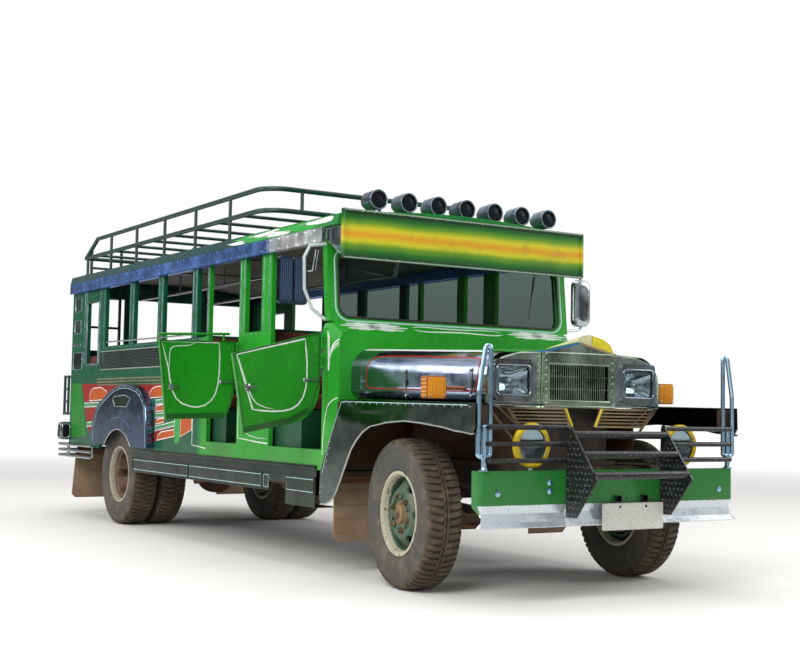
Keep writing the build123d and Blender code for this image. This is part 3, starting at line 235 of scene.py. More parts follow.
def dusty_paint(name, colour, worn, scale=9.0, roughness=0.6, dust=(0.2, 1.0, 0.5), metallic=0.0, bare=0.5):
    """Old paint or scale: patches of the worn colour, road dust below, a grainy surface."""
    made, tree, shader = begin_finish(name, colour, metallic, roughness)
    patches = step_between(tree, cloud(tree, scale, 8.0), bare, bare + 0.14)
    tone = blend_colour(tree, patches, colour, worn)
    tone = blend_colour(tree, dust_share(tree, *dust), tone, dust_colour)
    tree.links.new(tone, shader.inputs["Base Color"])
    grain = cloud(tree, 160.0, 3.0)
    vary_roughness(tree, shader, grain, 0.3, 0.7, roughness - 0.12, roughness + 0.15)
    raise_surface(tree, shader, grain, 0.0006, 0.5)
    return made


def dress(finish, *names, angle=35):
    """Gives nodes of the frame a finish and smooth shading between their sharp edges."""
    for name in names:
        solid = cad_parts[name]
        solid.data.materials.clear()
        solid.data.materials.append(finish)
        solid.data.shade_smooth()
        solid.data.set_sharp_from_angle(angle=radians(angle))


chassis_black = dusty_paint("chassis_black", (0.016, 0.014, 0.013), (0.07, 0.04, 0.025), dust=(0.2, 0.9, 0.5))
rusty_steel = dusty_paint("rusty_steel", (0.14, 0.045, 0.022), (0.05, 0.03, 0.022), 14.0, 0.75,
                          (0.1, 0.7, 0.4))
oily_casting = dusty_paint("oily_casting", (0.06, 0.06, 0.06), (0.02, 0.018, 0.016), 6.0, 0.5,
                           (0.3, 1.2, 0.3), 0.4)
dress(chassis_black, "frame_rails", "cross_members", "leaf_springs", "driveshaft", "fuel_tank", "radiator")
dress(rusty_steel, "front_axle", "rear_axle", "exhaust")
dress(oily_casting, "engine_block", "knuckle_left", "knuckle_right", "track_rod")


def add_turned(mesh, place, axis, profile, sides=24, finish=0, ring=False):
    """Turned form about an axis, from (along, radius) rows; a ring's last row joins its first."""
    along = Vector(axis).normalized()
    across = along.orthogonal().normalized()
    other = along.cross(across)
    rings = []
    for reach, radius in profile:
        centre = Vector(place) + along * reach
        if radius == 0:
            rings.append([mesh.verts.new(at(centre))])
            continue
        circle = []
        for step in range(sides):
            angle = 2 * pi * step / sides
            circle.append(mesh.verts.new(at(centre + (across * cos(angle) + other * sin(angle)) * radius)))
        rings.append(circle)
    faces = []
    for low, high in zip(rings, rings[1:] + rings[:1] if ring else rings[1:]):
        for step in range(sides):
            corners = [low[step % len(low)], low[(step + 1) % len(low)],
                       high[(step + 1) % len(high)], high[step % len(high)]]
            faces.append(mesh.faces.new(list(dict.fromkeys(corners))))
    for circle in () if ring else (rings[0], rings[-1]):
        if len(circle) > 1:
            faces.append(mesh.faces.new(circle))
    for face in faces:
        face.material_index = finish


def make_piece(name, mesh, finishes, body="vehicle", bevel=0.0, smooth=40, replaced=()):
    """Turns built geometry into a piece that rides on a body."""
    bmesh.ops.recalc_face_normals(mesh, faces=mesh.faces)
    made = bpy.data.meshes.new(name)
    mesh.to_mesh(made)
    mesh.free()
    for finish in finishes:
        made.materials.append(finish)
    made.shade_smooth()
    made.set_sharp_from_angle(angle=radians(smooth))
    thing = bpy.data.objects.new(name, made)
    scene.collection.objects.link(thing)
    if bevel:
        edges = thing.modifiers.new("edges", "BEVEL")
        edges.width = bevel
        edges.segments = 2
        edges.limit_method = "ANGLE"
        edges.angle_limit = radians(50)
    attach(thing, body)
    if replaced:
        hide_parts(*replaced)
    return thing


button_head = [(-1, 7), (2.5, 7), (5, 4.5), (6, 0)]
rail_face_y = 404.5
rivet_pitch = 210
rivets = bmesh.new()
for x in range(-5450, 560, rivet_pitch):
    for side in (-1, 1):
        for z in (575, 675):
            add_turned(rivets, (x, side * rail_face_y, z), (0, side, 0), button_head, 8)
make_piece("frame_rivets", rivets, [chassis_black])

# Tyres: cross-ply truck tyres with open shoulder lugs that reach round onto the sidewall and a zigzag
# rib in the middle, the rubber grey and dusty on the sides and brown with earth in the tread.
tyre_radius = 405
carcass = [
    # offset from the middle, radius, from the bead to the middle of the tread
    (79, 222.5), (82, 232), (91, 240), (94, 252), (100, 268), (103, 296), (103.5, 318), (101.5, 322),
    (101.5, 338), (104, 342), (102.5, 360), (97, 377), (86, 389), (60, 393), (30, 393.5), (0, 393.5),
]
tread_from = 11
lug_count = 64
lug_flare = 1.5
lug_rows = [
    # offset, foot radius, crown radius, half length round the tyre, sweep round the tyre
    (20, 391, 404.6, 11.0, 0.0),
    (52, 391, 404.2, 12.0, 3.0),
    (80, 386, 400.5, 13.0, 9.0),
    (95, 374, 390.5, 12.5, 15.0),
    (101.5, 352, 361, 11.0, 19.0),
]
rib_y, rib_wave = 11, 3.5
rib_section = [
    # offset from the rib's middle, radius
    (-6.5, 391), (-5.5, 404.8), (5.5, 404.8), (6.5, 391),
]


def wheel_point(centre, heading, offset, radius, angle):
    """A point of a wheel: offset outwards along its axle, radius and angle about it."""
    axle = Vector((-sin(heading), cos(heading), 0))
    ahead = Vector((cos(heading), sin(heading), 0))
    up = Vector((0, 0, 1))
    return Vector(centre) + axle * offset + ahead * (radius * cos(angle)) + up * (radius * sin(angle))


def add_band(mesh, rings, finish=0):
    """Faces from each ring of points to the next."""
    for first, second in zip(rings, rings[1:]):
        for k in range(len(first)):
            after = (k + 1) % len(first)
            mesh.faces.new((first[k], first[after], second[after], second[k])).material_index = finish


def add_skin(mesh, rings, finish=0, closed=False):
    """Faces along a row of rings, which ends in two caps or joins up with its start."""
    for ring in () if closed else (rings[0], rings[-1]):
        mesh.faces.new(ring).material_index = finish
    add_band(mesh, rings + rings[:1] if closed else rings, finish)


def add_tyre(mesh, centre, heading):
    """Carcass rows turned about the axle, then shoulder lugs and two zigzag ribs in tread rubber."""
    rows = carcass + [(-y, r) for y, r in reversed(carcass[:-1])]
    segments = 96
    rings = []
    for offset, radius in rows:
        rings.append([
            mesh.verts.new(at(wheel_point(centre, heading, offset, radius, 2 * pi * k / segments)))
            for k in range(segments)
        ])
    rings.append(rings[0])
    for row in range(len(rows)):
        add_band(mesh, rings[row:row + 2], 1 if tread_from <= row < len(rows) - 1 - tread_from else 0)
    for number in range(lug_count):
        for side in (-1, 1):
            start = 2 * pi * (number + (0.5 if side > 0 else 0.0)) / lug_count
            stations = []
            for offset, foot, crown, half, sweep in lug_rows:
                section = [(foot, -half - lug_flare), (crown, -half), (crown, half), (foot, half + lug_flare)]
                stations.append([
                    mesh.verts.new(at(wheel_point(centre, heading, side * offset, radius,
                                                  start + (sweep + reach) / crown)))
                    for radius, reach in section
                ])
            add_skin(mesh, stations, 1)
    for side in (-1, 1):
        strips = []
        for step in range(lug_count * 2):
            middle = side * rib_y + (rib_wave if step % 2 else -rib_wave)
            angle = 2 * pi * step / (lug_count * 2)
            strips.append([
                mesh.verts.new(at(wheel_point(centre, heading, middle + across, radius, angle)))
                for across, radius in rib_section
            ])
        add_skin(mesh, strips, 1, closed=True)


sidewall_rubber = dusty_paint("sidewall_rubber", (0.048, 0.048, 0.046), (0.085, 0.08, 0.066), 10.0, 0.8,
                              (0.0, 1.2, 0.2))
tread_rubber = dusty_paint("tread_rubber", (0.04, 0.034, 0.024), (0.09, 0.072, 0.046), 16.0, 0.9,
                           (0.0, 0.9, 0.2))
rest_steer = radians(-6.5)
kingpin_y = 610
front_reach = 143
wheel_rows = [
    # node of the tyres, body, side, heading, offsets from the vehicle's middle
    ("tyre_front_left", "wheel_front_left", 1, rest_steer, (kingpin_y + front_reach,)),
    ("tyre_front_right", "wheel_front_right", -1, rest_steer, (kingpin_y + front_reach,)),
    ("tyres_rear_left", "wheels_rear_left", 1, 0.0, (765, 525)),
    ("tyres_rear_right", "wheels_rear_right", -1, 0.0, (765, 525)),
]
rear_axle_x = -4316


def wheel_centre(side, heading, offset):
    """Middle of a wheel; the front ones swing about their kingpins."""
    if heading == 0:
        return (rear_axle_x, side * offset, tyre_radius)
    reach = side * (offset - kingpin_y)
    return (-sin(heading) * reach, side * kingpin_y + cos(heading) * reach, tyre_radius)


for node, body, side, heading, offsets in wheel_rows:
    rubber = bmesh.new()
    for offset in offsets:
        add_tyre(rubber, wheel_centre(side, heading, offset), heading)
    make_piece(node + "_tread", rubber, [sidewall_rubber, tread_rubber], body, smooth=32,
               replaced=[node])

# Wheels: pressed steel, the front discs green with a cream flange and a rusty hub, the rear ones brown
# with dust and a pale flange; six nuts hold each disc.
wheel_bands = {
    # radius in metres from which each colour starts: hub, disc, flange
    "front": [(0.0, (0.17, 0.10, 0.03)), (0.068, (0.018, 0.085, 0.055)), (0.199, (0.42, 0.41, 0.30))],
    "rear": [(0.0, (0.11, 0.055, 0.032)), (0.075, (0.085, 0.048, 0.030)), (0.199, (0.33, 0.31, 0.25))],
}


def offset_from(tree, centre):
    """The surface point's offset in metres from a point of the vehicle in millimetres."""
    inputs = {0: object_place(tree), 1: at(centre)}
    return add_node(tree, "VectorMath", inputs, operation="SUBTRACT").outputs[0]


def wheel_paint(name, centre, heading, bands):
    """Paint in rings about the axle, chipped and dusty."""
    made, tree, shader = begin_finish(name, bands[0][1], 0.0, 0.5)
    away = offset_from(tree, centre)
    turned = add_node(tree, "VectorRotate", {"Vector": away, "Axis": (0, 0, 1), "Angle": -heading}).outputs[0]
    parts = add_node(tree, "SeparateXYZ", {0: turned}).outputs
    flat = add_node(tree, "CombineXYZ", {"X": parts["X"], "Z": parts["Z"]}).outputs[0]
    radius = add_node(tree, "VectorMath", {0: flat}, operation="LENGTH").outputs["Value"]
    uneven = compute(tree, "MULTIPLY_ADD", cloud(tree, 60.0, 4.0), 0.006, radius)
    tone = bands[0][1]
    for start, colour in bands[1:]:
        tone = blend_colour(tree, step_between(tree, uneven, start + 0.002, start + 0.004), tone, colour)
    chips = step_between(tree, cloud(tree, 46.0, 8.0), 0.6, 0.66)
    tone = blend_colour(tree, chips, tone, (0.11, 0.05, 0.025))
    dust = multiply(tree, step_between(tree, cloud(tree, 7.0, 6.0), 0.35, 0.75), 0.4)
    tone = blend_colour(tree, dust, tone, dust_colour)
    tree.links.new(tone, shader.inputs["Base Color"])
    vary_roughness(tree, shader, cloud(tree, 80.0, 4.0), 0.3, 0.7, 0.35, 0.7)
    raise_surface(tree, shader, cloud(tree, 55.0, 8.0), 0.002, 0.5)
    return made


nut_rusty = dusty_paint("nut_rusty", (0.07, 0.05, 0.03), (0.20, 0.14, 0.06), 30.0, 0.6, (0.0, 0.8, 0.2), 0.5)
stud_ring = 92
stud_count = 6
front_face, rear_face = 72, -92
front_hub_end, rear_hub_end = 96, -48
nut_profile = [(-2, 17), (12, 17), (14, 14.5), (15, 0)]
stud_profile = [(10, 8), (23, 8), (25, 6), (25.5, 0)]
hub_cap_profile = [(0, 34), (4, 34), (7, 28), (8, 0)]
for node, body, side, heading, offsets in wheel_rows:
    kind = "front" if heading else "rear"
    centre = wheel_centre(side, heading, offsets[0])
    wheel_node = body.replace("wheels", "wheel")
    dress(wheel_paint("paint_" + wheel_node, centre, heading, wheel_bands[kind]), wheel_node, angle=30)
    face, hub_end = (front_face, front_hub_end) if heading else (rear_face, rear_hub_end)
    out = wheel_point((0, 0, 0), heading, side, 0, 0)
    nuts = bmesh.new()
    for index in range(stud_count):
        angle = 2 * pi * (index + 0.3) / stud_count
        place = wheel_point(centre, heading, side * face, stud_ring, angle if side > 0 else pi - angle)
        add_turned(nuts, place, out, nut_profile, 6)
        add_turned(nuts, place, out, stud_profile, 10)
    add_turned(nuts, wheel_point(centre, heading, side * hub_end, 0, 0), out, hub_cap_profile, 20)
    make_piece(wheel_node + "_nuts", nuts, [nut_rusty], body, smooth=30)

# Lower body sides: sheet panels in gloss enamel, deep green to the rear and bright beside the doors,
# lined out by hand with red and orange blocks, pinstripes and a framed pressed panel under the windows.
def enamel(name, colour, shade, dust=(0.4, 1.2, 0.16), roughness=0.2, coat=0.3):
    """Brushed and sprayed gloss enamel over sheet: faint cloudy tone, dust low down, shallow dents."""
    made, tree, shader = begin_finish(name, colour, 0.0, roughness, Coat_Weight=coat,
                                      Coat_Roughness=0.06, Specular_IOR_Level=0.3)
    tone = blend_colour(tree, step_between(tree, cloud(tree, 1.7, 5.0), 0.35, 0.7), colour, shade)
    tone = blend_colour(tree, dust_share(tree, *dust), tone, dust_colour)
    tree.links.new(tone, shader.inputs["Base Color"])
    vary_roughness(tree, shader, cloud(tree, 22.0, 6.0), 0.3, 0.7, roughness, roughness + 0.22)
    raise_surface(tree, shader, cloud(tree, 3.0, 2.0), 0.012, 0.35)
    return made


def share_along(tree, axis, low, high, from_value=0.0, to_value=1.0):
    """A share that changes between two places along one axis of the vehicle, given in millimetres."""
    ends = [at([place] * 3)["XYZ".index(axis)] for place in (low, high)]
    return step_between(tree, object_axis(tree, axis), *ends, from_value, to_value)


def split_enamel(name, front_colour, rear_colour, border, roughness=0.2):
    """Enamel that changes colour along the body at one place."""
    made, tree, shader = begin_finish(name, front_colour, 0.0, roughness, Coat_Weight=0.2,
                                      Coat_Roughness=0.06, Specular_IOR_Level=0.25)
    tone = blend_colour(tree, share_along(tree, "X", border - 50, border + 50), rear_colour, front_colour)
    cloudy = multiply(tree, step_between(tree, cloud(tree, 1.7, 5.0), 0.35, 0.75), 0.35)
    tone = blend_colour(tree, cloudy, tone, [c * 0.5 for c in rear_colour])
    tone = blend_colour(tree, dust_share(tree, 0.4, 1.2, 0.06), tone, dust_colour)
    tree.links.new(tone, shader.inputs["Base Color"])
    vary_roughness(tree, shader, cloud(tree, 22.0, 6.0), 0.3, 0.7, roughness, roughness + 0.22)
    raise_surface(tree, shader, cloud(tree, 3.0, 2.0), 0.012, 0.35)
    return made


def runs_along(points, closed):
    """The line's direction at each of its points, from the point before to the point after."""
    last = len(points) - 1
    runs = []
    for k in range(len(points)):
        before = points[k - 1] if k or closed else points[0]
        after = points[(k + 1) % len(points)] if k < last or closed else points[-1]
        runs.append((after - before).normalized())
    return runs


def add_tube(mesh, points, radius, sides=8, finish=0, closed=False):
    """Round bar along points in millimetres."""
    points = [Vector(p) for p in points]
    tangents = runs_along(points, closed)
    across = tangents[0].orthogonal().normalized()
    rings = []
    for point, tangent in zip(points, tangents):
        across = (across - tangent * across.dot(tangent)).normalized()
        other = tangent.cross(across)
        ring = []
        for step in range(sides):
            angle = 2 * pi * step / sides
            ring.append(mesh.verts.new(at(point + (across * cos(angle) + other * sin(angle)) * radius)))
        rings.append(ring)
    add_skin(mesh, rings, finish, closed)


def add_slab(mesh, low, high, finish=0):
    """Closed body between two outlines with the same number of points in millimetres."""
    rings = [[mesh.verts.new(at(point)) for point in outline] for outline in (low, high)]
    add_skin(mesh, rings, finish)


def add_block(mesh, low, high, finish=0):
    """Block between two corners in millimetres."""
    (x0, y0, z0), (x1, y1, z1) = low, high
    foot, top = ([(x0, y0, z), (x1, y0, z), (x1, y1, z), (x0, y1, z)] for z in (z0, z1))
    add_slab(mesh, foot, top, finish)


def add_plate(mesh, outline, place, finish=0, proud=0.8, sunk=0.4):
    """Flat shape on a surface: place(a, b, out) gives its points, out being the height off the surface."""
    low = [place(a, b, -sunk) for a, b in outline]
    high = [place(a, b, proud) for a, b in outline]
    add_slab(mesh, low, high, finish)


def eased(points, steps=5, closed=False):
    """Smooth line through given points: each stretch is a cubic bent by its neighbours."""
    count = len(points)
    line = []
    for k in range(count if closed else count - 1):
        around = [(k + j) % count if closed else min(max(k + j, 0), count - 1) for j in (-1, 0, 1, 2)]
        before, start, end, after = (Vector(points[j]) for j in around)
        for step in range(steps):
            t = step / steps
            line.append(0.5 * (2 * start + (end - before) * t
                               + (2 * before - 5 * start + 4 * end - after) * t ** 2
                               + (3 * start - before - 3 * end + after) * t ** 3))
    return line if closed else line + [Vector(points[-1])]


def add_stroke(mesh, points, width, place, finish=0, closed=False, pointed=False, proud=1.0):
    """Brush stroke of one width along a line on a surface; pointed ones thin out to their ends."""
    points = [Vector(p) for p in points]
    sunk = 0.4
    rings = []
    for k, (point, run) in enumerate(zip(points, runs_along(points, closed))):
        half = width / 2
        if pointed:
            half *= max(0.12, sin(pi * (k + 0.35) / (len(points) - 0.3)) ** 0.7)
        side = Vector((-run.y, run.x)) * half
        left, right = point + side, point - side
        section = [(left, -sunk), (left, proud), (right, proud), (right, -sunk)]
        rings.append([mesh.verts.new(at(place(p.x, p.y, out))) for p, out in section])
    add_skin(mesh, rings, finish, closed)


def line_paint(name, colour, roughness=0.35):
    """Hand-brushed signwriter's enamel with faint streaks."""
    made, tree, shader = begin_finish(name, colour, 0.0, roughness, Coat_Weight=0.1, Coat_Roughness=0.15,
                                      Specular_IOR_Level=0.25)
    streak = step_between(tree, cloud(tree, 40.0, 5.0, (1, 1, 3)), 0.3, 0.75)
    tone = blend_colour(tree, streak, colour, [c * 0.72 for c in colour])
    tone = blend_colour(tree, dust_share(tree, 0.4, 1.1, 0.06), tone, dust_colour)
    tree.links.new(tone, shader.inputs["Base Color"])
    raise_surface(tree, shader, streak, 0.0004, 0.3)
    return made


green_bright = (0.018, 0.30, 0.018)
green_deep = (0.004, 0.085, 0.040)
body_half = 895
bright_green = enamel("bright_green", green_bright, (0.014, 0.20, 0.018))
deep_green = enamel("deep_green", green_deep, (0.004, 0.055, 0.030), coat=0.15)
side_green = split_enamel("side_green", green_bright, green_deep, -2600)
dress(side_green, "side_panels", "window_posts")
dress(bright_green, "sill_strips", "hinges")
dress(deep_green, "floor", "rear_wall", "rear_posts", "seat_frames")
paint_white = line_paint("paint_white", (0.72, 0.78, 0.74))
paint_red = line_paint("paint_red", (0.30, 0.012, 0.008))
paint_orange = line_paint("paint_orange", (0.48, 0.085, 0.010))
paint_green = line_paint("paint_green", (0.03, 0.34, 0.05))
paint_grey = line_paint("paint_grey", (0.30, 0.38, 0.36))
quarter_green = line_paint("quarter_green", (0.012, 0.20, 0.02))


def polished(name, colour, roughness=0.16, smudge=0.2, dent=0.012, dust=(0.3, 1.1, 0.2), grain=(1, 1, 1)):
    """Polished sheet steel: smudged mirror with scratches and small dents, dulled by dust low down."""
    made, tree, shader = begin_finish(name, colour, 1.0, roughness)
    streaks = cloud(tree, 2.2, 3.0, grain)
    tone = blend_colour(tree, step_between(tree, streaks, 0.35, 0.7), colour, [c * 0.7 for c in colour])
    tone = blend_colour(tree, dust_share(tree, *dust), tone, dust_colour)
    tree.links.new(tone, shader.inputs["Base Color"])
    vary_roughness(tree, shader, cloud(tree, 9.0, 8.0), 0.35, 0.75, roughness, roughness + smudge)
    raise_surface(tree, shader, cloud(tree, 3.0, 2.0), dent, 0.35)
    return made


stainless = polished("stainless", (0.42, 0.48, 0.50))
chrome = polished("chrome", (0.60, 0.65, 0.68), 0.08, 0.12, 0.002)


def side_place(side, surface=body_half):
    """Places a point of a side wall's paint: along X and Z, out from the surface."""
    return lambda a, b, out: (a, side * (surface + out), b)


red_blocks = [
    # outlines in x and z, split where the rear dome covers them
    [(-5188, 1145), (-3000, 1129), (-3060, 1033), (-3691, 1015), (-5119, 986)],
    [(-5099, 937), (-4725, 946), (-4725, 839), (-5045, 819)],
    [(-3453, 977), (-3280, 983), (-3275, 921), (-3453, 913)],
    [(-5029, 782), (-4745, 799), (-4745, 722), (-4924, 710)],
    [(-3453, 871), (-3272, 880), (-3261, 838), (-3453, 816)],
    [(-3453, 770), (-3064, 801), (-3059, 735), (-3453, 692)],
]
orange_shapes = [
    [(-4994, 998), (-4978, 1048), (-4945, 1085), (-4901, 1105), (-4700, 1112), (-4560, 1080), (-4520, 1010)],
    [(-3599, 1022), (-3575, 1062), (-3530, 1094), (-3440, 1110), (-3018, 1118), (-3062, 1038)],
    [(-3453, 921), (-3437, 955), (-3400, 966), (-3283, 976), (-3279, 928)],
    [(-3435, 824), (-3413, 854), (-3380, 864), (-3275, 874), (-3265, 842)],
    [(-3402, 704), (-3390, 730), (-3373, 747), (-3311, 769), (-3068, 791), (-3063, 741)],
    [(-2955, 1130), (-2743, 1130), (-2739, 796), (-2947, 740)],
]
row_lines = [
    # from the red block above: colour, offset below its foot, width
    (2, 10, 7), (3, 21, 9), (4, 33, 8), (2, 44, 6),
]
row_feet = [
    # rear end to front end of each line's course, in x and z
    [(-5119, 986), (-4740, 995)], [(-3450, 1017), (-3060, 1033)],
    [(-5045, 819), (-4745, 838)], [(-3450, 914), (-3275, 921), (-3055, 934)],
    [(-3450, 817), (-3261, 838), (-3055, 862)],
]
green_block = [(-3053, 1130), (-2963, 1130), (-2963, 700), (-3053, 690)]
quarter_outline = [(-5494, 1150), (-5214, 1152), (-5128, 938), (-5050, 690), (-5494, 676)]
tick_pitch = 22
rear_lining = [(-2728, 1125), (-2728, 690), (-2490, 672)]
post_lining = [(-1965, 1130), (-1965, 760), (-1700, 742), (-1520, 735)]
inner_lining = [(-1940, 1100), (-1925, 900), (-1850, 800), (-1700, 770), (-1525, 765)]
side_paint = bmesh.new()
for side in (-1, 1):
    place = side_place(side)
    for outline in red_blocks:
        add_plate(side_paint, outline, place, 0)
    for outline in orange_shapes:
        add_plate(side_paint, outline, place, 1, 1.2)
        add_stroke(side_paint, outline, 7, place, 2, closed=True, proud=1.6)
    for feet in row_feet:
        for colour, below, width in row_lines:
            add_stroke(side_paint, [(x, z - below) for x, z in feet], width, place, colour)
    add_plate(side_paint, green_block, place, 3)
    for z in range(745, 1130, tick_pitch):
        tick_top = z + tick_pitch / 2
        add_plate(side_paint, [(-3062, z), (-3056, z), (-3056, tick_top), (-3062, tick_top)], place, 2, 1.4)
    add_plate(side_paint, quarter_outline, place, 5, 0.5)
    add_stroke(side_paint, rear_lining, 8, place, 2)
    add_stroke(side_paint, post_lining, 8, place, 2)
    add_stroke(side_paint, eased(inner_lining), 5, place, 2, pointed=True)
make_piece("side_lining", side_paint,
           [paint_red, paint_orange, paint_white, paint_green, paint_grey, quarter_green])

# Mouldings and the pressed name panel without its name: a rolled bead at the belt, a ribbed stainless
# strip in a bright frame below the windows, and round-headed rivets along the sheet edges.
belt_olive = dusty_paint("belt_olive", (0.10, 0.12, 0.06), (0.16, 0.15, 0.09), 12.0, 0.45, (0.4, 1.4, 0.35))
panel_dark = polished("panel_dark", (0.03, 0.06, 0.05), 0.2, 0.2, 0.004, grain=(1, 1, 4))
belt_stretches = [
    # rear x, front x, short of the open doorways
    (-4790, -2560), (-1975, -1513),
]
belt_beads = [
    # height, radius
    (1180, 9), (1156, 9), (1132, 6),
]
frame_rear, frame_front = -4725, -2700
frame_low, frame_top = 1262, 1412
frame_corners = [(frame_rear, frame_low), (frame_front, frame_low), (frame_front, frame_top),
                 (frame_rear, frame_top)]
rib_count = 11
rib_edge, rib_end = 18, 14
small_head = [(-0.5, 4.5), (1.6, 4.5), (3, 2.6), (3.4, 0)]
side_rivets = [
    # rear x, front x, height
    (-4620, -2570, 1440), (-1975, -1513, 1440), (-5470, -2500, 618), (-5470, -4650, 1300),
]
side_rivet_pitch = 64
arch_rear, arch_front, arch_top = -4790, -3840, 700
side_trim = bmesh.new()
for side in (-1, 1):
    place = side_place(side)
    for rear_x, front_x in belt_stretches:
        for z, radius in belt_beads:
            add_tube(side_trim, [place(rear_x, z, 1), place(front_x, z, 1)], radius, 8, 0)
    add_plate(side_trim, frame_corners, place, 1, 2.5)
    for rib in range(rib_count):
        z = frame_low + rib_edge + (frame_top - frame_low - 2 * rib_edge) * rib / (rib_count - 1)
        rib_ends = [place(x, z, 2) for x in (frame_rear + rib_end, frame_front - rib_end)]
        add_tube(side_trim, rib_ends, 3.4, 6, 1)
    add_tube(side_trim, [place(x, z, 2) for x, z in frame_corners], 6, 8, 2, closed=True)
    for rear_x, front_x, z in side_rivets:
        for x in range(rear_x, front_x + 1, side_rivet_pitch):
            if not (z < arch_top and arch_rear < x < arch_front):
                add_turned(side_trim, place(x, z, 0), (0, side, 0), small_head, 8, 2)
make_piece("side_mouldings", side_trim, [belt_olive, panel_dark, stainless])

# Window surrounds: bright lines down both edges of each post, painted highlights in a bluish polished
# finish, a guard rod along the sills, and near-black plates on the rear quarter, painted shade for its slots.
# Bluish polished steel: the bright lines down the post edges are painted highlights; it also rims the slots,
# the quarter panel, the rear pane and the rear panels.
trim_and_edge_highlight = polished("trim_and_edge_highlight", (0.34, 0.46, 0.48), 0.18, 0.25, 0.006)
rod_chrome = polished("rod_chrome", (0.42, 0.46, 0.48), 0.12, 0.15, 0.001)
# Near-black plates for the shaded insides of the rear quarter's slots: painted shade.
slot_painted_shade = dusty_paint("slot_painted_shade", (0.010, 0.02, 0.015), (0.02, 0.03, 0.02), 9.0, 0.4,
                           (0.4, 1.2, 0.1))
posts = [
    # x of the post's middle, width, foot
    (-1577, 90, 1455), (-1938, 60, 1455), (-2500, 26, 1455), (-2743, 60, 1455), (-3400, 70, 1455),
    (-4017, 70, 1455), (-4722, 110, 1320), (-5150, 50, 1320),
]
post_top = 1948
guard_rod = [
    # along x, height, out from the side
    (-4548, 1500, 2), (-4538, 1488, 17), (-3500, 1480, 17), (-2515, 1474, 17), (-2502, 1480, 2),
]
rod_stays = (-4017, -3400, -2743)
# Slots of the rear quarter, filled with near-black plates as painted shade.
shaded_slots = [
    # rear x, front x, low z, top z
    (-5440, -5275, 1785, 1910), (-5440, -5275, 1592, 1708), (-5440, -5275, 1479, 1497),
]
quarter_frame = (-5454, -5218, 1274, 1422)
rear_pane = (-5105, -4806, 1313, 1844)


def rounded(x0, x1, z0, z1, corner, steps=4):
    """Outline of a rectangle with round corners."""
    outline = []
    for cx, cz, start in ((x1 - corner, z1 - corner, 0), (x0 + corner, z1 - corner, 90),
                          (x0 + corner, z0 + corner, 180), (x1 - corner, z0 + corner, 270)):
        for step in range(steps + 1):
            angle = radians(start + 90 * step / steps)
            outline.append((cx + corner * cos(angle), cz + corner * sin(angle)))
    return outline


window_trim = bmesh.new()
for side in (-1, 1):
    place = side_place(side)
    for x, width, foot in posts:
        # Bright lines down both edges of each post: painted highlights.
        for edge in (-1, 1):
            line_x = x + edge * (width / 2 - 4)
            add_tube(window_trim, [place(line_x, foot, 0), place(line_x, post_top, 0)], 5, 6, 0)
    add_tube(window_trim, [place(*point) for point in guard_rod], 6, 8, 1)
    for x in rod_stays:
        add_tube(window_trim, [place(x, 1482, -2), place(x, 1482, 17)], 4, 6, 1)
    for rear_x, front_x, low_z, top_z in shaded_slots:
        corner = min(28, (top_z - low_z) / 2 - 1)
        outline = rounded(rear_x, front_x, low_z, top_z, corner)
        add_plate(window_trim, outline, place, 2, 0.8)
        add_tube(window_trim, [place(a, b, 1) for a, b in outline], 4, 6, 0, closed=True)
    outline = rounded(*quarter_frame, 12)
    add_plate(window_trim, outline, place, 3, 1.5)
    add_tube(window_trim, [place(a, b, 1.5) for a, b in outline], 5, 6, 0, closed=True)
    add_tube(window_trim, [place(a, b, 0) for a, b in rounded(*rear_pane, 3)], 6, 6, 0, closed=True)
make_piece("window_trim", window_trim, [trim_and_edge_highlight, rod_chrome, slot_painted_shade, panel_dark])

# Drip strips: folded stainless along both roof edges, scratched and dented, over the window headers; their
# deep blue is a painted sky reflection.
# Deep blue base colour: painted reflection of sky in the stainless.
strip_steel_painted_sky = polished("strip_steel_painted_sky", (0.20, 0.40, 0.95), 0.26, 0.2, 0.03, (0.3, 0.6, 0.0), (0.4, 1, 1))
sky_glint_from, sky_glint_to = -1560, -1380
sky_glint_white = (0.95, 0.98, 1.0)
strip_half = 931
strip_rivet_pitch = 118


def lay_over(finish, share, colour):
    """Lays a colour, fixed or worked out, over a finish by a share."""
    tree = finish.node_tree
    base = tree.nodes["Principled BSDF"].inputs["Base Color"]
    tree.links.new(blend_colour(tree, share, base.links[0].from_socket, colour), base)


# From about x -1360 to -1180 forward the strip turns white: a painted glint of bright sky on its forward
# curve.
tree = strip_steel_painted_sky.node_tree
along = compute(tree, "MULTIPLY_ADD", cloud(tree, 9.0, 5.0), 0.4, object_axis(tree, "X"))
sky_glint = step_between(tree, along, at((sky_glint_from + 200, 0, 0)).x, at((sky_glint_to + 200, 0, 0)).x)
lay_over(strip_steel_painted_sky, sky_glint, sky_glint_white)
dress(strip_steel_painted_sky, "gutter_strips")
strip_rivets = bmesh.new()
for side in (-1, 1):
    for x in range(-5480, -820, strip_rivet_pitch):
        for z in (1962, 2022):
            add_turned(strip_rivets, (x, side * strip_half, z), (0, side, 0), small_head, 8)
make_piece("strip_rivets", strip_rivets, [strip_steel_painted_sky])

# Roof: sheet over bows, dark green with a brighter forward part whose edge runs into brushed flames.
roof_green = split_enamel("roof_green", (0.012, 0.20, 0.03), (0.006, 0.045, 0.045), -1911)
dress(roof_green, "roof")
flame_rows = [
    # tip x, foot x, low z, top z, colour
    (-2160, -1880, 2046, 2072, 0), (-2090, -1760, 2066, 2090, 1), (-1960, -1560, 2044, 2066, 1),
    (-1840, -1400, 2062, 2092, 0), (-1660, -1240, 2046, 2070, 0), (-1500, -1040, 2064, 2090, 1),
    (-1300, -900, 2044, 2064, 1), (-1120, -700, 2062, 2092, 0),
]


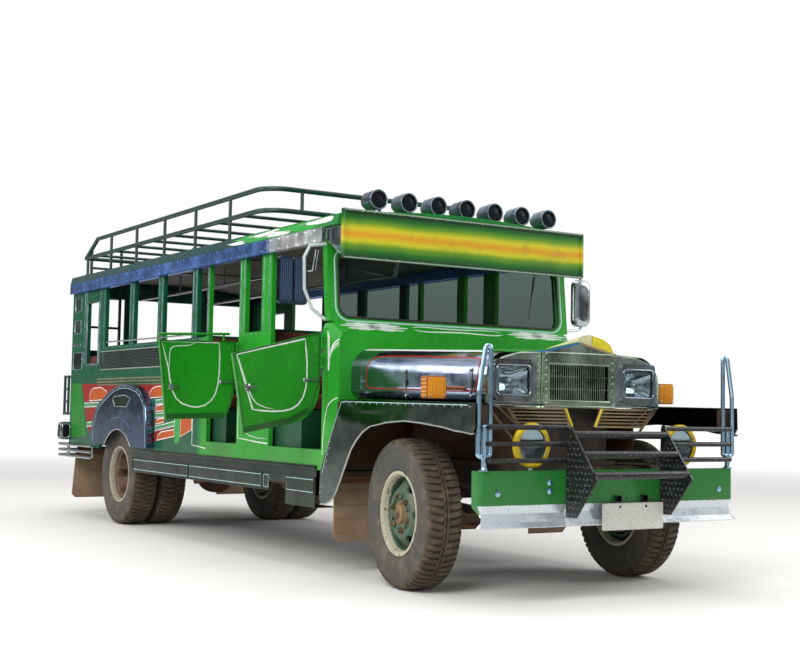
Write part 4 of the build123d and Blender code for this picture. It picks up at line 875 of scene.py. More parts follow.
def shoulder_place(side):
    """Along X, then Z, on the roof's shoulder, which leans in as it rises."""
    return lambda a, b, out: (a, side * (925 - (b - 2035) * 0.222 + out), b)


flames = bmesh.new()
for side in (-1, 1):
    for tip, foot, low, top, colour in flame_rows:
        middle = (low + top) / 2
        waist = (tip + foot) / 2
        outline = eased([(tip, middle + 6), (waist, low), (foot, low), (foot, top), (waist, middle + 9)], 4)
        add_plate(flames, outline, shoulder_place(side), colour)
make_piece("roof_flames", flames, [paint_white, paint_green])

# Sign board: a folded sheet box across the roof's front edge, airbrushed in bands from green over
# yellow to orange, with a pale border and bright wings, and left without words.
def banded_paint(name, bands):
    """Airbrushed bands across the height; each row is a height in millimetres and a colour."""
    made, tree, shader = begin_finish(name, bands[0][1], 0.0, 0.3, Coat_Weight=0.6, Coat_Roughness=0.08)
    wave = compute(tree, "MULTIPLY_ADD", cloud(tree, 2.6, 2.0), 0.03, object_axis(tree, "Z"))
    tone = bands[0][1]
    for (low, _), (high, colour) in zip(bands, bands[1:]):
        share = step_between(tree, wave, low / 1000 + 0.015, high / 1000 + 0.015)
        tone = blend_colour(tree, share, tone, colour)
    stain = step_between(tree, cloud(tree, 7.0, 6.0), 0.5, 0.8, 0.0, 0.35)
    tone = blend_colour(tree, stain, tone, (0.03, 0.05, 0.02))
    tree.links.new(tone, shader.inputs["Base Color"])
    raise_surface(tree, shader, cloud(tree, 4.0, 3.0), 0.008, 0.3)
    return made


sign_paint = banded_paint("sign_paint", [
    (1852, (0.006, 0.05, 0.012)), (1884, (0.012, 0.13, 0.012)), (1920, (0.12, 0.27, 0.010)),
    (1946, (0.55, 0.50, 0.012)), (1985, (0.62, 0.27, 0.008)), (2020, (0.58, 0.50, 0.012)),
    (2052, (0.12, 0.28, 0.010)), (2082, (0.010, 0.12, 0.012)), (2112, (0.005, 0.045, 0.010)),
])
wing_chrome = polished("wing_chrome", (0.34, 0.42, 0.44), 0.15, 0.2, 0.02)
dress(sign_paint, "sign_board")


def front_place(surface):
    """Places a point of paint on a face that looks forward: across along Y, then Z, out from the face."""
    return lambda a, b, out: (surface + out, a, b)


border_pale = line_paint("border_pale", (0.26, 0.36, 0.26))
sign_front = -581
border = [(-893, 1842), (893, 1842), (893, 2123), (-893, 2123)]
wing = [(-612, 1862), (-612, 2026), (-780, 2026), (-780, 1964)]
sign_trim = bmesh.new()
add_stroke(sign_trim, border, 8, front_place(sign_front), 0, closed=True)
for y in range(-860, 870, 86):
    for z in (1846, 2119):
        add_turned(sign_trim, (sign_front, y, z), (1, 0, 0), small_head, 8, 1)
for side in (-1, 1):
    place = side_place(side, 898)
    add_plate(sign_trim, wing, place, 1, 1.0)
    add_tube(sign_trim, [place(a, b, 0) for a, b in wing], 5, 6, 1, closed=True)
make_piece("sign_trim", sign_trim, [border_pale, wing_chrome])

# Roof lamps: seven spun tubes on stalks, grey with a bluish sheen, each with a rolled rim, a clamp
# band and a near-black lens disc, painted shade for the dark inside of the deep tube.
lamp_grey = polished("lamp_grey", (0.24, 0.30, 0.36), 0.25, 0.25, 0.004, (0.0, 0.1, 0.0))
# Near-black and hardly glossy: in the roof lamps painted shade for the dark inside of each tube; also the
# dark faces on the tail lamp boxes.
dark_lens_and_painted_shade = begin_finish("dark_lens_and_painted_shade", (0.006, 0.008, 0.010), 0.0, 0.3, Specular_IOR_Level=0.15)[0]
dress(lamp_grey, "roof_lamps")
roof_lamp_z, roof_lamp_pitch = 2207, 213
roof_lamp_parts = [
    # x of its start, facing, sides, finish, whether it is a ring, profile: rolled rim, clamp band, near-black
    # lens disc as painted shade
    (-622, -1, 28, 0, True, [(-3, 54), (-5, 57), (-3, 60.5), (3, 61), (6, 58.5), (6, 52)]),
    (-652, -1, 28, 0, True, [(0, 57), (0, 60.5), (16, 60.5), (16, 57)]),
    (-641, 1, 24, 1, False, [(0, 51), (4, 50), (9, 34), (11, 0)]),
]
lamp_trim = bmesh.new()
for index in range(-3, 4):
    for x, facing, sides, finish, ring, profile in roof_lamp_parts:
        place = (x, index * roof_lamp_pitch, roof_lamp_z)
        add_turned(lamp_trim, place, (facing, 0, 0), profile, sides, finish, ring)
make_piece("roof_lamp_trim", lamp_trim, [lamp_grey, dark_lens_and_painted_shade])

# Roof rack and rear ladder: welded steel tube in dark green, with welded gussets and worn rails.
rack_green = dusty_paint("rack_green", (0.004, 0.03, 0.022), (0.02, 0.045, 0.04), 16.0, 0.35,
                         (0.2, 0.6, 0.05), bare=0.56)
dress(rack_green, "roof_rack", "rear_ladder")
rack_half = 860
rack_collars = [
    # height, profile of the welded collar at the post's foot and under the rail
    (2107, [(0, 26), (3, 26), (7, 15), (14, 13)]), (2239, [(0, 13), (5, 15), (12, 14)]),
]
rack_feet = bmesh.new()
for side in (-1, 1):
    for x in range(-5250, -2249, 600):
        for z, profile in rack_collars:
            add_turned(rack_feet, (x, side * rack_half, z), (0, 0, 1), profile, 12)
make_piece("rack_feet", rack_feet, [rack_green])

# Windscreen surround: painted sheet round one rounded pane in black rubber, with a pale line about it.
screen_lean = radians(5.8)
screen_x, screen_foot = -735, 1478


def screen_place(a, b, out):
    """Across along Y, then height, on the leaning surround."""
    rise = b - screen_foot
    x = screen_x - rise * sin(screen_lean) + out * cos(screen_lean)
    return (x, a, screen_foot + rise * cos(screen_lean) + out * sin(screen_lean))


seal_rubber = dusty_paint("seal_rubber", (0.012, 0.012, 0.012), (0.03, 0.03, 0.03), 20.0, 0.55,
                          (0.2, 1.0, 0.1))
line_pale = line_paint("line_pale", (0.42, 0.62, 0.62))
dress(bright_green, "windscreen_frame", "hood")
screen_trim = bmesh.new()
opening = rounded(-827, 827, 1505, 1902, 70, 8)
add_tube(screen_trim, [screen_place(a, b, -2) for a, b in opening], 8, 8, 0, closed=True)
add_stroke(screen_trim, rounded(-850, 850, 1483, 1925, 88, 8), 9, screen_place, 1, closed=True)
wiper_pivot = (652, 1912)
pivot_profile = [(0, 11), (10, 11), (14, 6), (15, 0)]
wiper_arm = [(652, 1912, 8), (628, 1800, 15), (604, 1690, 8)]
wiper_blade = [(632, 1838, 5), (604, 1690, 6), (576, 1560, 5)]
add_turned(screen_trim, screen_place(*wiper_pivot, -1), (1, 0, 0.1), pivot_profile, 12, 0)
for line, radius in ((wiper_arm, 3.2), (wiper_blade, 4)):
    add_tube(screen_trim, [screen_place(*point) for point in line], radius, 6, 0)
make_piece("screen_trim", screen_trim, [seal_rubber, line_pale])

# Glass: one flat laminated pane tinted dark grey-green as painted shade for the dim cab behind it, and
# fluted square headlamp lenses and crowned fog lamp lenses in thin clear glass with a slight green edge.
clear_glass, _, _ = begin_finish("clear_glass", (0.80, 0.88, 0.86), 0.0, 0.02,
                                 Transmission_Weight=1.0, IOR=1.35)
# Dark grey-green tint of the screen pane: painted shade for the dim cab seen through it.
screen_glass_painted_shade, _, _ = begin_finish("screen_glass_painted_shade", (0.22, 0.30, 0.27), 0.0, 0.02,
                                  Transmission_Weight=1.0, IOR=1.2)
lamp_y, lamp_z, lens_x = 437, 1129, 442
fog_y, fog_z, fog_front = 510, 793, 722
glasswork = bmesh.new()
add_plate(glasswork, rounded(-825, 825, 1507, 1900, 68, 8), screen_place, 0, -24, 30)


def add_fluted(mesh, place, half_wide, half_tall, crown, columns, finish):
    """Pressed lens: a crowned rectangle with upright flutes, closed by a flat back."""
    rows = 8
    grid = []
    for i in range(columns + 1):
        u = i / columns * 2 - 1
        line = []
        for j in range(rows + 1):
            v = j / rows * 2 - 1
            flute = 1.2 if i % 2 and abs(v) < 0.9 else 0.0
            swell = crown * (1 - u ** 4) * (1 - v ** 4) + flute
            line.append(mesh.verts.new(at(place(u * half_wide, v * half_tall, swell))))
        grid.append(line)
    for first, second in zip(grid, grid[1:]):
        for j in range(rows):
            corners = (first[j], second[j], second[j + 1], first[j + 1])
            mesh.faces.new(corners).material_index = finish
    edge = [line[0] for line in grid] + grid[-1][1:] + [line[-1] for line in grid[-2::-1]] + grid[0][-2:0:-1]
    back = [mesh.verts.new(v.co - Vector((0.004, 0, 0))) for v in edge]
    add_band(mesh, [edge, back], finish)
    mesh.faces.new(back).material_index = finish


fog_lens = [(0, 87), (5, 87), (13, 60), (17, 30), (18, 0)]
for side in (-1, 1):
    add_fluted(glasswork, lambda a, b, out: (lens_x + out, side * lamp_y + a, lamp_z + b), 103, 71, 6, 22, 1)
    add_turned(glasswork, (fog_front - 12, side * fog_y, fog_z), (1, 0, 0), fog_lens, 40, 1)
make_piece("glasswork", glasswork, [screen_glass_painted_shade, clear_glass], smooth=50, replaced=["glass"])

# Cowl: the ledge under the screen carries leaf sprays and a long double stroke, the cheeks a triple
# line that turns forward over the hood's shoulder.
def ledge_place(a, b, out):
    """Across along Y, then distance up the sloping ledge from its front edge."""
    back, rise = 0.834, 0.552
    return (cowl_front - b * back + out * rise, a, ledge_foot + b * rise + out * back)


def cowl_place(side):
    """Along X, then Z, on the cheek, which draws in towards the hood."""
    draw_in = 0.3625
    return lambda a, b, out: (a, side * (body_half - max(0.0, a - screen_x) * draw_in + out), b)


cowl_front, ledge_foot = -655, 1425
leaf_line = 48
leaf_rows = [
    # start from the middle of the spray, tip, rise of the tip
    (-30, 236, 2), (-40, 190, 26), (-36, 196, -28), (-50, 120, 38), (-46, 126, -38),
]
long_strokes = [
    # width, line across and up the ledge
    (11, [(-335, 66), (-250, 80), (0, 70), (240, 80), (335, 66)]),
    (15, [(-335, 40), (-240, 24), (0, 36), (250, 24), (335, 40)]),
]
cheek_lines = [
    # how far it is shifted into the V, width
    (0, 9), (16, 6), (30, 4),
]
foot_line = [(-790, 690), (-778, 830), (-745, 960), (-700, 1010), (-662, 1024)]
cowl_paint = bmesh.new()
for centre in (-610, 610):
    for start, tip, rise in leaf_rows:
        for way in (-1, 1):
            bend = (start + tip) / 2
            leaf = [(start, 0.1), (bend, 0.75), (tip, 1)]
            line = [(centre + way * along, leaf_line + rise * share) for along, share in leaf]
            add_stroke(cowl_paint, eased(line, 4), 19, ledge_place, 0, pointed=True)
for width, line in long_strokes:
    add_stroke(cowl_paint, eased(line, 4), width, ledge_place, 0, pointed=True)
for side in (-1, 1):
    place = cowl_place(side)
    for shift, width in cheek_lines:
        down = [(-748 + shift * 0.5, 1420 - shift), (-742 + shift * 0.4, 1300 - shift * 0.6),
                (-734, 1186 + shift)]
        forward = [(-734, 1186 + shift), (-724, 1275 - shift * 0.4), (-700, 1338 - shift),
                   (-660, 1366 - shift)]
        add_stroke(cowl_paint, down, width, place, 0)
        add_stroke(cowl_paint, eased(forward, 5), width, place, 0)
    add_stroke(cowl_paint, eased(foot_line, 5), 6, place, 0)
make_piece("cowl_lines", cowl_paint, [paint_white])

# Hood sides: polished stainless rolled like a barrel, tinted blue as a painted sky reflection, with a red
# line round the flank, two latches and a row of rivets along the foot.
# Blue-grey base colour: painted reflection of sky in the stainless.
barrel_steel_painted_sky = polished("barrel_steel_painted_sky", (0.27, 0.32, 0.43), 0.11, 0.2, 0.014, (0.6, 1.1, 0.05))
dress(barrel_steel_painted_sky, "hood_sides")


def arc_offset(points, z):
    """A rolled edge's offset at one height, and the centre of its circle through three points."""
    (x1, y1), (x2, y2), (x3, y3) = points
    d = 2 * (x1 * (y2 - y3) + x2 * (y3 - y1) + x3 * (y1 - y2))
    s1, s2, s3 = x1 * x1 + y1 * y1, x2 * x2 + y2 * y2, x3 * x3 + y3 * y3
    cx = (s1 * (y2 - y3) + s2 * (y3 - y1) + s3 * (y1 - y2)) / d
    cy = (s1 * (x3 - x2) + s2 * (x1 - x3) + s3 * (x2 - x1)) / d
    return cx + (max(0.0, (x1 - cx) ** 2 + (y1 - cy) ** 2 - (z - cy) ** 2)) ** 0.5, (cx, cy)


def barrel_place(side):
    """Along X, then Z, on the barrel's flank and its rolled edges."""
    def place(a, b, out):
        share = (a - barrel_rear) / barrel_length
        half, low, top = 784 - 192 * share, 1026 - 20 * share, 1314 - 34 * share
        if b > top - 128:
            edge = [(half, top - 128), (half - 36, top - 38), (half - 122, top)]
            y, (cy, cz) = arc_offset(edge, min(b, top - 1))
        elif b < low + 71:
            edge = [(half - 53, low), (half - 14, low + 18), (half, low + 71)]
            y, (cy, cz) = arc_offset(edge, max(b, low + 1))
        else:
            return (a + out * 0.175, side * (half + out * 0.985), b)
        away = Vector((y - cy, b - cz)).normalized() * out
        return (a, side * (y + away.x), b + away.y)
    return place


barrel_rear, barrel_length = -655, 1080
red_line = [(-520, 1105), (-520, 1190), (-512, 1232), (-470, 1262), (-300, 1264), (100, 1252), (330, 1240),
            (362, 1215), (362, 1140), (352, 1085), (310, 1066), (0, 1072), (-300, 1080), (-480, 1084)]
latch_rod = [(1035, 12), (1120, 12), (1185, 11)]
latch_knobs = [
    # height, profile
    (1180, [(0, 11), (6, 11), (14, 7), (18, 0)]), (1040, [(0, 9), (12, 9), (16, 6), (17, 0)]),
]
clip_half = (14, 3.5, 14)
barrel_trim = bmesh.new()
for side in (-1, 1):
    place = barrel_place(side)
    top_line = [(x, 1312 - (x - barrel_rear) * 0.0315) for x in range(-650, 421, 90)]
    add_stroke(barrel_trim, eased(red_line, 3, closed=True), 7, place, 0, closed=True)
    add_stroke(barrel_trim, top_line, 8, place, 1)
    for x in (-190, 316):
        add_tube(barrel_trim, [place(x, z, out) for z, out in latch_rod], 4, 8, 2)
        for z, profile in latch_knobs:
            add_turned(barrel_trim, place(x, z, -1), (0.17, side, 0), profile, 12, 2)
        clip, half = Vector(place(x, 1112, 5)), Vector(clip_half)
        add_block(barrel_trim, clip - half, clip + half, 2)
    for x in range(-630, 400, 66):
        add_turned(barrel_trim, place(x, 1033, 0), (0, side, -0.6), small_head, 8, 2)
make_piece("hood_latches", barrel_trim, [paint_red, paint_white, rod_chrome], smooth=50)

# Hood scoop: its blunt front is painted cream on the inner half and yellow on the outer one.
scoop_cream = line_paint("scoop_cream", (0.62, 0.60, 0.36))
scoop_yellow = line_paint("scoop_yellow", (0.68, 0.58, 0.03))
scoop_x, scoop_rear_x = 424, 110
cream_half = [(10, 1306), (17, 1349), (61, 1383), (110, 1389), (122, 1386), (118, 1300)]
yellow_half = [(122, 1300), (126, 1385), (205, 1368), (255, 1340), (284, 1282)]
scoop_front = [(8, 1305), (16, 1350), (60, 1384), (110, 1390), (205, 1369), (256, 1341), (288, 1280)]
scoop_rear = [(40, 1305), (50, 1322), (80, 1332), (120, 1334), (180, 1326), (210, 1318), (226, 1290)]
scoop_paint = bmesh.new()
for finish, half in enumerate((cream_half, yellow_half)):
    add_plate(scoop_paint, half, front_place(scoop_x + 1), finish, 1.2)
for k in range(1, len(scoop_front) - 1):
    corners = [(scoop_x, *scoop_front[k]), (scoop_x, *scoop_front[k + 1]),
               (scoop_rear_x, *scoop_rear[k + 1]), (scoop_rear_x, *scoop_rear[k])]
    low, high = ([scoop_paint.verts.new(at((x, y, z + rise))) for x, y, z in corners] for rise in (-0.5, 1.2))
    finish = 0 if k < 3 else 1
    for cap in (low[::-1], high):
        scoop_paint.faces.new(cap).material_index = finish
    add_band(scoop_paint, [low, high], finish)
make_piece("scoop_paint", scoop_paint, [scoop_cream, scoop_yellow])

# Grille: greenish stainless shell with a bead round its bars, painted edges on the pediment's slopes
# and a pressed border on the blank pediment.
grille_steel = polished("grille_steel", (0.58, 0.70, 0.58), 0.12, 0.2, 0.005, (0.6, 1.1, 0.03))
dress(grille_steel, "grille")
edge_blue = line_paint("edge_blue", (0.02, 0.13, 0.34))
edge_tan = line_paint("edge_tan", (0.30, 0.22, 0.11))
grille_x = 470
grille_beads = [
    # half width, foot, top, radius
    (212, 1023, 1223, 5), (243, 996, 1284, 3.5),
]
pediment = [(-205, 1240), (205, 1240), (205, 1268), (0, 1313), (-205, 1268)]
grille_trim = bmesh.new()
place = front_place(grille_x)
for half, low, top, radius in grille_beads:
    corners = [(-half, low), (half, low), (half, top), (-half, top)]
    add_tube(grille_trim, [place(a, b, 0) for a, b in corners], radius, 8, 0, closed=True)
for side, paint in ((-1, 1), (1, 2)):
    add_stroke(grille_trim, [(side * 250, 1284), (side * 2, 1341)], 11, place, paint)
    add_tube(grille_trim, [(grille_x - 45, side * 250, 1288), (grille_x + 2, side * 250, 1288)], 5, 6, paint)
add_stroke(grille_trim, pediment, 4, place, 0, closed=True)
for z in range(1010, 1280, 38):
    for side in (-1, 1):
        add_turned(grille_trim, place(side * 232, z, 0), (1, 0, 0), small_head, 8, 0)
make_piece("grille_trim", grille_trim, [grille_steel, edge_blue, edge_tan])

# Lamps: pressed bezels with silvered bowls and bulbs behind their glass, and fog lamps with a yellow
# ring, on stalks behind the bumper.
silvered, _, _ = begin_finish("silvered", (0.38, 0.43, 0.50), 1.0, 0.07)
paint_yellow = line_paint("paint_yellow", (0.70, 0.50, 0.015))
bulb_glow, _, _ = begin_finish("bulb_glow", (0.55, 0.62, 0.66), 0.0, 0.08, Coat_Weight=1.0)
dress(chrome, "lamp_bodies")
bowl_half_wide, bowl_half_tall = 104, 72
bowl_rows = [
    # x, share of the bowl's mouth
    (438, 1.0), (424, 0.86), (410, 0.62), (402, 0.36), (399, 0.16),
]
bezel = rounded(-111, 111, -79, 79, 22, 6)
head_bulb = [(0, 15), (12, 15), (22, 10), (25, 0)]
fog_parts = [
    # x behind the front, facing, sides, finish, whether it is a ring, profile: bowl, bulb, rolled rim
    (16, -1, 36, 0, False, [(0, 86), (24, 78), (44, 58), (58, 34), (62, 12)]),
    (76, 1, 16, 2, False, [(0, 11), (26, 11), (36, 7), (38, 0)]),
    (0, 1, 48, 1, True, [(-30, 96), (-34, 104), (-24, 114), (-6, 115), (4, 108), (6, 98), (2, 88), (-6, 88)]),
]
lamp_inner = bmesh.new()
for side in (-1, 1):
    rings = []
    for x, scale in bowl_rows:
        corner = min(26 + (1 - scale) * 60, 70 * scale)
        wide, tall = bowl_half_wide * scale, bowl_half_tall * scale
        outline = rounded(-wide, wide, -tall, tall, corner, 5)
        rings.append([lamp_inner.verts.new(at((x, side * lamp_y + a, lamp_z + b))) for a, b in outline])
    add_band(lamp_inner, rings)
    lamp_inner.faces.new(rings[-1]).material_index = 0
    add_turned(lamp_inner, (400, side * lamp_y, lamp_z), (1, 0, 0), head_bulb, 16, 2)
    add_tube(lamp_inner, [(459, side * lamp_y + a, lamp_z + b) for a, b in bezel], 3.5, 8, 0, closed=True)
    for behind, facing, sides, finish, ring, profile in fog_parts:
        place = (fog_front - behind, side * fog_y, fog_z)
        add_turned(lamp_inner, place, (facing, 0, 0), profile, sides, finish, ring)
make_piece("lamp_insides", lamp_inner, [silvered, paint_yellow, bulb_glow], smooth=60)

# Face panels: stainless about the headlamps with a rolled edge and rivets; the slatted panels below
# are painted tan, with yellow edges along the V between them.
def two_height_paint(name, low_colour, high_colour, height, low_metal, high_metal, roughness=0.3):
    """Paint below one height and another finish above it."""
    made, tree, shader = begin_finish(name, high_colour, high_metal, roughness)
    share = share_along(tree, "Z", height, height + 1)
    tone = blend_colour(tree, share, low_colour, high_colour)
    stain = step_between(tree, cloud(tree, 6.0, 6.0), 0.45, 0.75, 0.0, 0.35)
    tone = blend_colour(tree, stain, tone, [c * 0.45 for c in high_colour])
    tree.links.new(tone, shader.inputs["Base Color"])
    tree.links.new(step_between(tree, share, 0.0, 1.0, low_metal, high_metal), shader.inputs["Metallic"])
    vary_roughness(tree, shader, cloud(tree, 9.0, 8.0), 0.35, 0.75, roughness, roughness + 0.2)
    raise_surface(tree, shader, cloud(tree, 3.0, 2.0), 0.01, 0.3)
    return made


face_finish = two_height_paint("face_finish", (0.20, 0.14, 0.07), (0.50, 0.56, 0.54), 989, 0.0, 1.0, 0.14)
dress(face_finish, "front_panels")
face_x, slat_x = 445, 507
face_edge = [(256, 990), (530, 990), (594, 1000), (594, 1130), (583, 1172), (562, 1206), (530, 1232),
             (490, 1251), (430, 1268), (380, 1276), (256, 1281)]
face_rivets = [(268, z) for z in range(1020, 1270, 40)] + [(580, 1030), (580, 1075), (580, 1120), (560, 1180)]
face_trim = bmesh.new()
for side in (-1, 1):
    add_tube(face_trim, [(face_x + 1, side * y, z) for y, z in face_edge], 4.5, 8, 0, closed=True)
    for y, z in face_rivets:
        add_turned(face_trim, (face_x, side * y, z), (1, 0, 0), small_head, 8, 0)
    add_tube(face_trim, [(slat_x, side * 126, 984), (slat_x, side * 80, 886)], 7, 6, 1)
    add_tube(face_trim, [(slat_x, side * 78, 886), (slat_x, side * 432, 886)], 4, 6, 2)
make_piece("face_trim", face_trim, [grille_steel, paint_yellow, edge_tan])

# Front fenders: dark polished sheet with a rolled edge round the arch in pale steel, a painted highlight,
# a pale line along the rear leg and rivets beside the folded top.
fender_steel = polished("fender_steel", (0.12, 0.15, 0.14), 0.08, 0.16, 0.02, (0.4, 0.9, 0.06))
# Pale polished steel on the rolled arch edges: a painted highlight along them; also the frame of the dome's
# plate.
bright_trim_and_arch_highlight = polished("bright_trim_and_arch_highlight", (0.50, 0.52, 0.50), 0.16, 0.2, 0.002, (0.4, 0.9, 0.3))


def add_underseal(finish, *bounds):
    """Rust-brown underseal on the hidden side: each bound is a coordinate of the vehicle, whether it counts
    both ways, and its limits in metres."""
    tree = finish.node_tree
    shader = tree.nodes["Principled BSDF"]
    parts = add_node(tree, "SeparateXYZ", {0: offset_from(tree, (0, 0, 0))}).outputs
    blur = 0.002
    share = 1.0
    for axis, both_ways, low, high in bounds:
        value = compute(tree, "ABSOLUTE", parts[axis]) if both_ways else parts[axis]
        past_low = step_between(tree, value, low - blur, low)
        below_high = step_between(tree, value, high, high + blur, 1, 0)
        share = multiply(tree, share, multiply(tree, past_low, below_high))
    rust = blend_colour(tree, cloud(tree, 8.0, 6.0), (0.022, 0.012, 0.008), (0.075, 0.032, 0.014))
    lay_over(finish, share, rust)
    metal = shader.inputs["Metallic"].default_value
    if metal:
        tree.links.new(step_between(tree, share, 0.0, 1.0, metal, 0.0), shader.inputs["Metallic"])
    rough = shader.inputs["Roughness"].links[0].from_socket
    tree.links.new(compute(tree, "MULTIPLY_ADD", share, 0.4, rough), shader.inputs["Roughness"])


cowl_green = enamel("cowl_green", green_bright, (0.014, 0.20, 0.018))
add_underseal(cowl_green, ("X", False, -0.662, 1.0), ("Z", False, 0.0, 1.0))
dress(cowl_green, "cowl")
add_underseal(fender_steel, ("X", False, -2.0, 0.750), ("Y", True, 0.0, 0.893), ("Z", False, 0.0, 0.990))
dress(fender_steel, "front_fenders")
fender_half = 899
arch_line = [(757, 852), (735, 850), (670, 858), (593, 862), (520, 874), (445, 882), (280, 896), (120, 905),
             (-60, 893), (-231, 869), (-310, 838), (-375, 795), (-436, 739), (-479, 676), (-520, 612),
             (-562, 547), (-594, 498), (-632, 455), (-680, 428), (-739, 410), (-779, 409)]
fender_line = [(-778, 585), (-705, 764), (-690, 789), (-566, 1000), (-540, 1004), (700, 990)]
leg_steps = 8
fender_rivets = [(x, 997 - (x + 563) * 0.0115) for x in range(-540, 720, 74)]
fender_rivets += [(-795 + 110 * k / leg_steps, 470 + 300 * k / leg_steps) for k in range(leg_steps + 1)]
fender_trim = bmesh.new()
for side in (-1, 1):
    place = side_place(side, fender_half)
    add_tube(fender_trim, [place(x, z, 1) for x, z in arch_line], 6, 8, 0)
    add_stroke(fender_trim, fender_line, 4, place, 1)
    for x, z in fender_rivets:
        add_turned(fender_trim, place(x, z, 0), (0, side, 0), small_head, 8, 0)
make_piece("fender_trim", fender_trim, [bright_trim_and_arch_highlight, line_pale])

# Turn lamps and tail lamps: moulded amber lenses screwed to square bodies, and ribbed red lenses in
# chromed boxes at the rear.
amber, _, _ = begin_finish("amber", (0.85, 0.30, 0.015), 0.0, 0.16, Coat_Weight=1.0, Subsurface_Weight=0.2)
tail_red, _, _ = begin_finish("tail_red", (0.35, 0.012, 0.01), 0.0, 0.1, Coat_Weight=1.0)
amber_body = dusty_paint("amber_body", (0.34, 0.12, 0.025), (0.22, 0.08, 0.02), 20.0, 0.3, (0.4, 1.2, 0.1))
tree = amber_body.node_tree
boxed = share_along(tree, "X", -5000, -4900, 1, 0)
lay_over(amber_body, boxed, (0.16, 0.19, 0.20))
tree.links.new(multiply(tree, boxed, 0.9), tree.nodes["Principled BSDF"].inputs["Metallic"])
dress(amber_body, "signal_lamps")


def face_along(x, y, z, heading):
    """Places a point of a face that looks forward or back: across along Y, then Z, out from its middle."""
    return lambda a, b, out: (x + heading * out, y + a, z + b)


def add_ribbed(mesh, place, outline_box, corner, ribs, rib_pitch, rib_gap, rib_radius, finish):
    """Moulded lens: a raised plate with upright ribs."""
    _, _, low, top = outline_box
    add_plate(mesh, rounded(*outline_box, corner), place, finish, 5, 1)
    for rib in range(-ribs, ribs + 1):
        ends = [place(rib * rib_pitch, b, 5) for b in (low + rib_gap, top - rib_gap)]
        add_tube(mesh, ends, rib_radius, 6, finish)


turn_lamp_faces = [
    # x, facing
    (285, 1), (225, -1),
]
turn_lamp_y, turn_lamp_z = 808, 1081
turn_screw = [(0, 5), (3, 5), (4, 3), (4, 0)]
tail_y, tail_z = 901, 730
tail_lenses = [
    # foot and top from the box's middle, finish
    (-62, -6, 2), (2, 32, 0), (38, 64, 3),
]
signal_trim = bmesh.new()
for side in (-1, 1):
    for x, heading in turn_lamp_faces:
        place = face_along(x, side * turn_lamp_y, turn_lamp_z, heading)
        add_ribbed(signal_trim, place, (-54, 54, -54, 54), 12, 2, 17, 12, 3.2, 0)
        for a in (-44, 44):
            for b in (-44, 44):
                add_turned(signal_trim, place(a, b, 4), (heading, 0, 0), turn_screw, 10, 1)
    for z in (1040, 1060, 1081, 1102, 1122):
        add_tube(signal_trim, [(233, side * 869, z), (277, side * 869, z)], 3.5, 6, 0)
    place = face_along(-5560, side * tail_y, tail_z, -1)
    add_tube(signal_trim, [place(a, b, 0) for a, b in rounded(-78, 78, -74, 74, 26)], 6, 8, 1, closed=True)
    for low, top, paint in tail_lenses:
        add_ribbed(signal_trim, place, (-64, 64, low, top), 10, 5, 11, 8, 2, paint)
    box_side = side_place(side, 983)
    box_faces = [
        # how the face is placed, half width
        (face_along(-5462, side * 939, tail_z, 1), 34),
        (lambda a, b, out: box_side(a - 5511, b + tail_z, out), 38),
    ]
    for place, half in box_faces:
        outline = rounded(-half, half, -60, 60, 20)
        add_plate(signal_trim, outline, place, 4, 1.5)
        add_tube(signal_trim, [place(a, b, 1) for a, b in outline], 6, 8, 1, closed=True)
make_piece("signal_lenses", signal_trim, [amber, chrome, tail_red, silvered, dark_lens_and_painted_shade])

# Bumper, its posts and the bull bar: a pressed channel in green enamel with a polished lip, chromed
# posts with tall loops tinted blue as a painted sky reflection, and black tubes between two wedge plates of
# checker plate.
def bumper_finish_made():
    """Green enamel on the face, bare polished steel on the lip below it, chipped along the edge."""
    green, bare = (0.010, 0.15, 0.024), (0.62, 0.68, 0.72)
    made, tree, shader = begin_finish("bumper_finish", green, 0.0, 0.25, Coat_Weight=0.2,
                                      Specular_IOR_Level=0.3)
    height = compute(tree, "MULTIPLY_ADD", cloud(tree, 30.0, 6.0), 0.008, object_axis(tree, "Z"))
    share = step_between(tree, height, 0.5, 0.503)
    share = compute(tree, "MAXIMUM", share, share_along(tree, "X", 735, 748, 1.0, 0.0))
    tone = blend_colour(tree, share, bare, green)
    chips = step_between(tree, cloud(tree, 13.0, 9.0), 0.67, 0.70)
    tone = blend_colour(tree, multiply(tree, chips, 0.7), tone, (0.12, 0.10, 0.07))
    tone = blend_colour(tree, dust_share(tree, 0.3, 0.75, 0.15), tone, dust_colour)
    tree.links.new(tone, shader.inputs["Base Color"])
    tree.links.new(step_between(tree, share, 0.0, 1.0, 0.6, 0.0), shader.inputs["Metallic"])
    vary_roughness(tree, shader, cloud(tree, 12.0, 8.0), 0.35, 0.75, 0.16, 0.42)
    raise_surface(tree, shader, cloud(tree, 3.5, 3.0), 0.014, 0.4)
    return made


bumper_finish = bumper_finish_made()
# Light blue chrome: painted reflection of sky in the posts and their collars.
post_steel_painted_sky = polished("post_steel_painted_sky", (0.40, 0.62, 0.80), 0.1, 0.2, 0.002)
black_tube = dusty_paint("black_tube", (0.010, 0.010, 0.012), (0.09, 0.105, 0.12), 70.0, 0.3,
                         (0.2, 0.7, 0.08), 0.2, 0.57)
worn_tread = dusty_paint("worn_tread", (0.14, 0.155, 0.17), (0.02, 0.02, 0.024), 50.0, 0.35,
                         (0.2, 0.7, 0.1), 0.5, 0.55)
dress(bumper_finish, "front_bumper")
dress(post_steel_painted_sky, "bumper_posts")
dress(black_tube, "bull_bar")
wedge_outline = [(764, 436), (836, 438), (992, 628), (793, 886), (768, 886), (764, 668)]


def inside(outline, a, b):
    """Whether a point lies in an outline."""
    held = False
    for (x0, y0), (x1, y1) in zip(outline, outline[1:] + outline[:1]):
        if (y0 > b) != (y1 > b) and a < (x1 - x0) * (b - y0) / (y1 - y0) + x0:
            held = not held
    return held


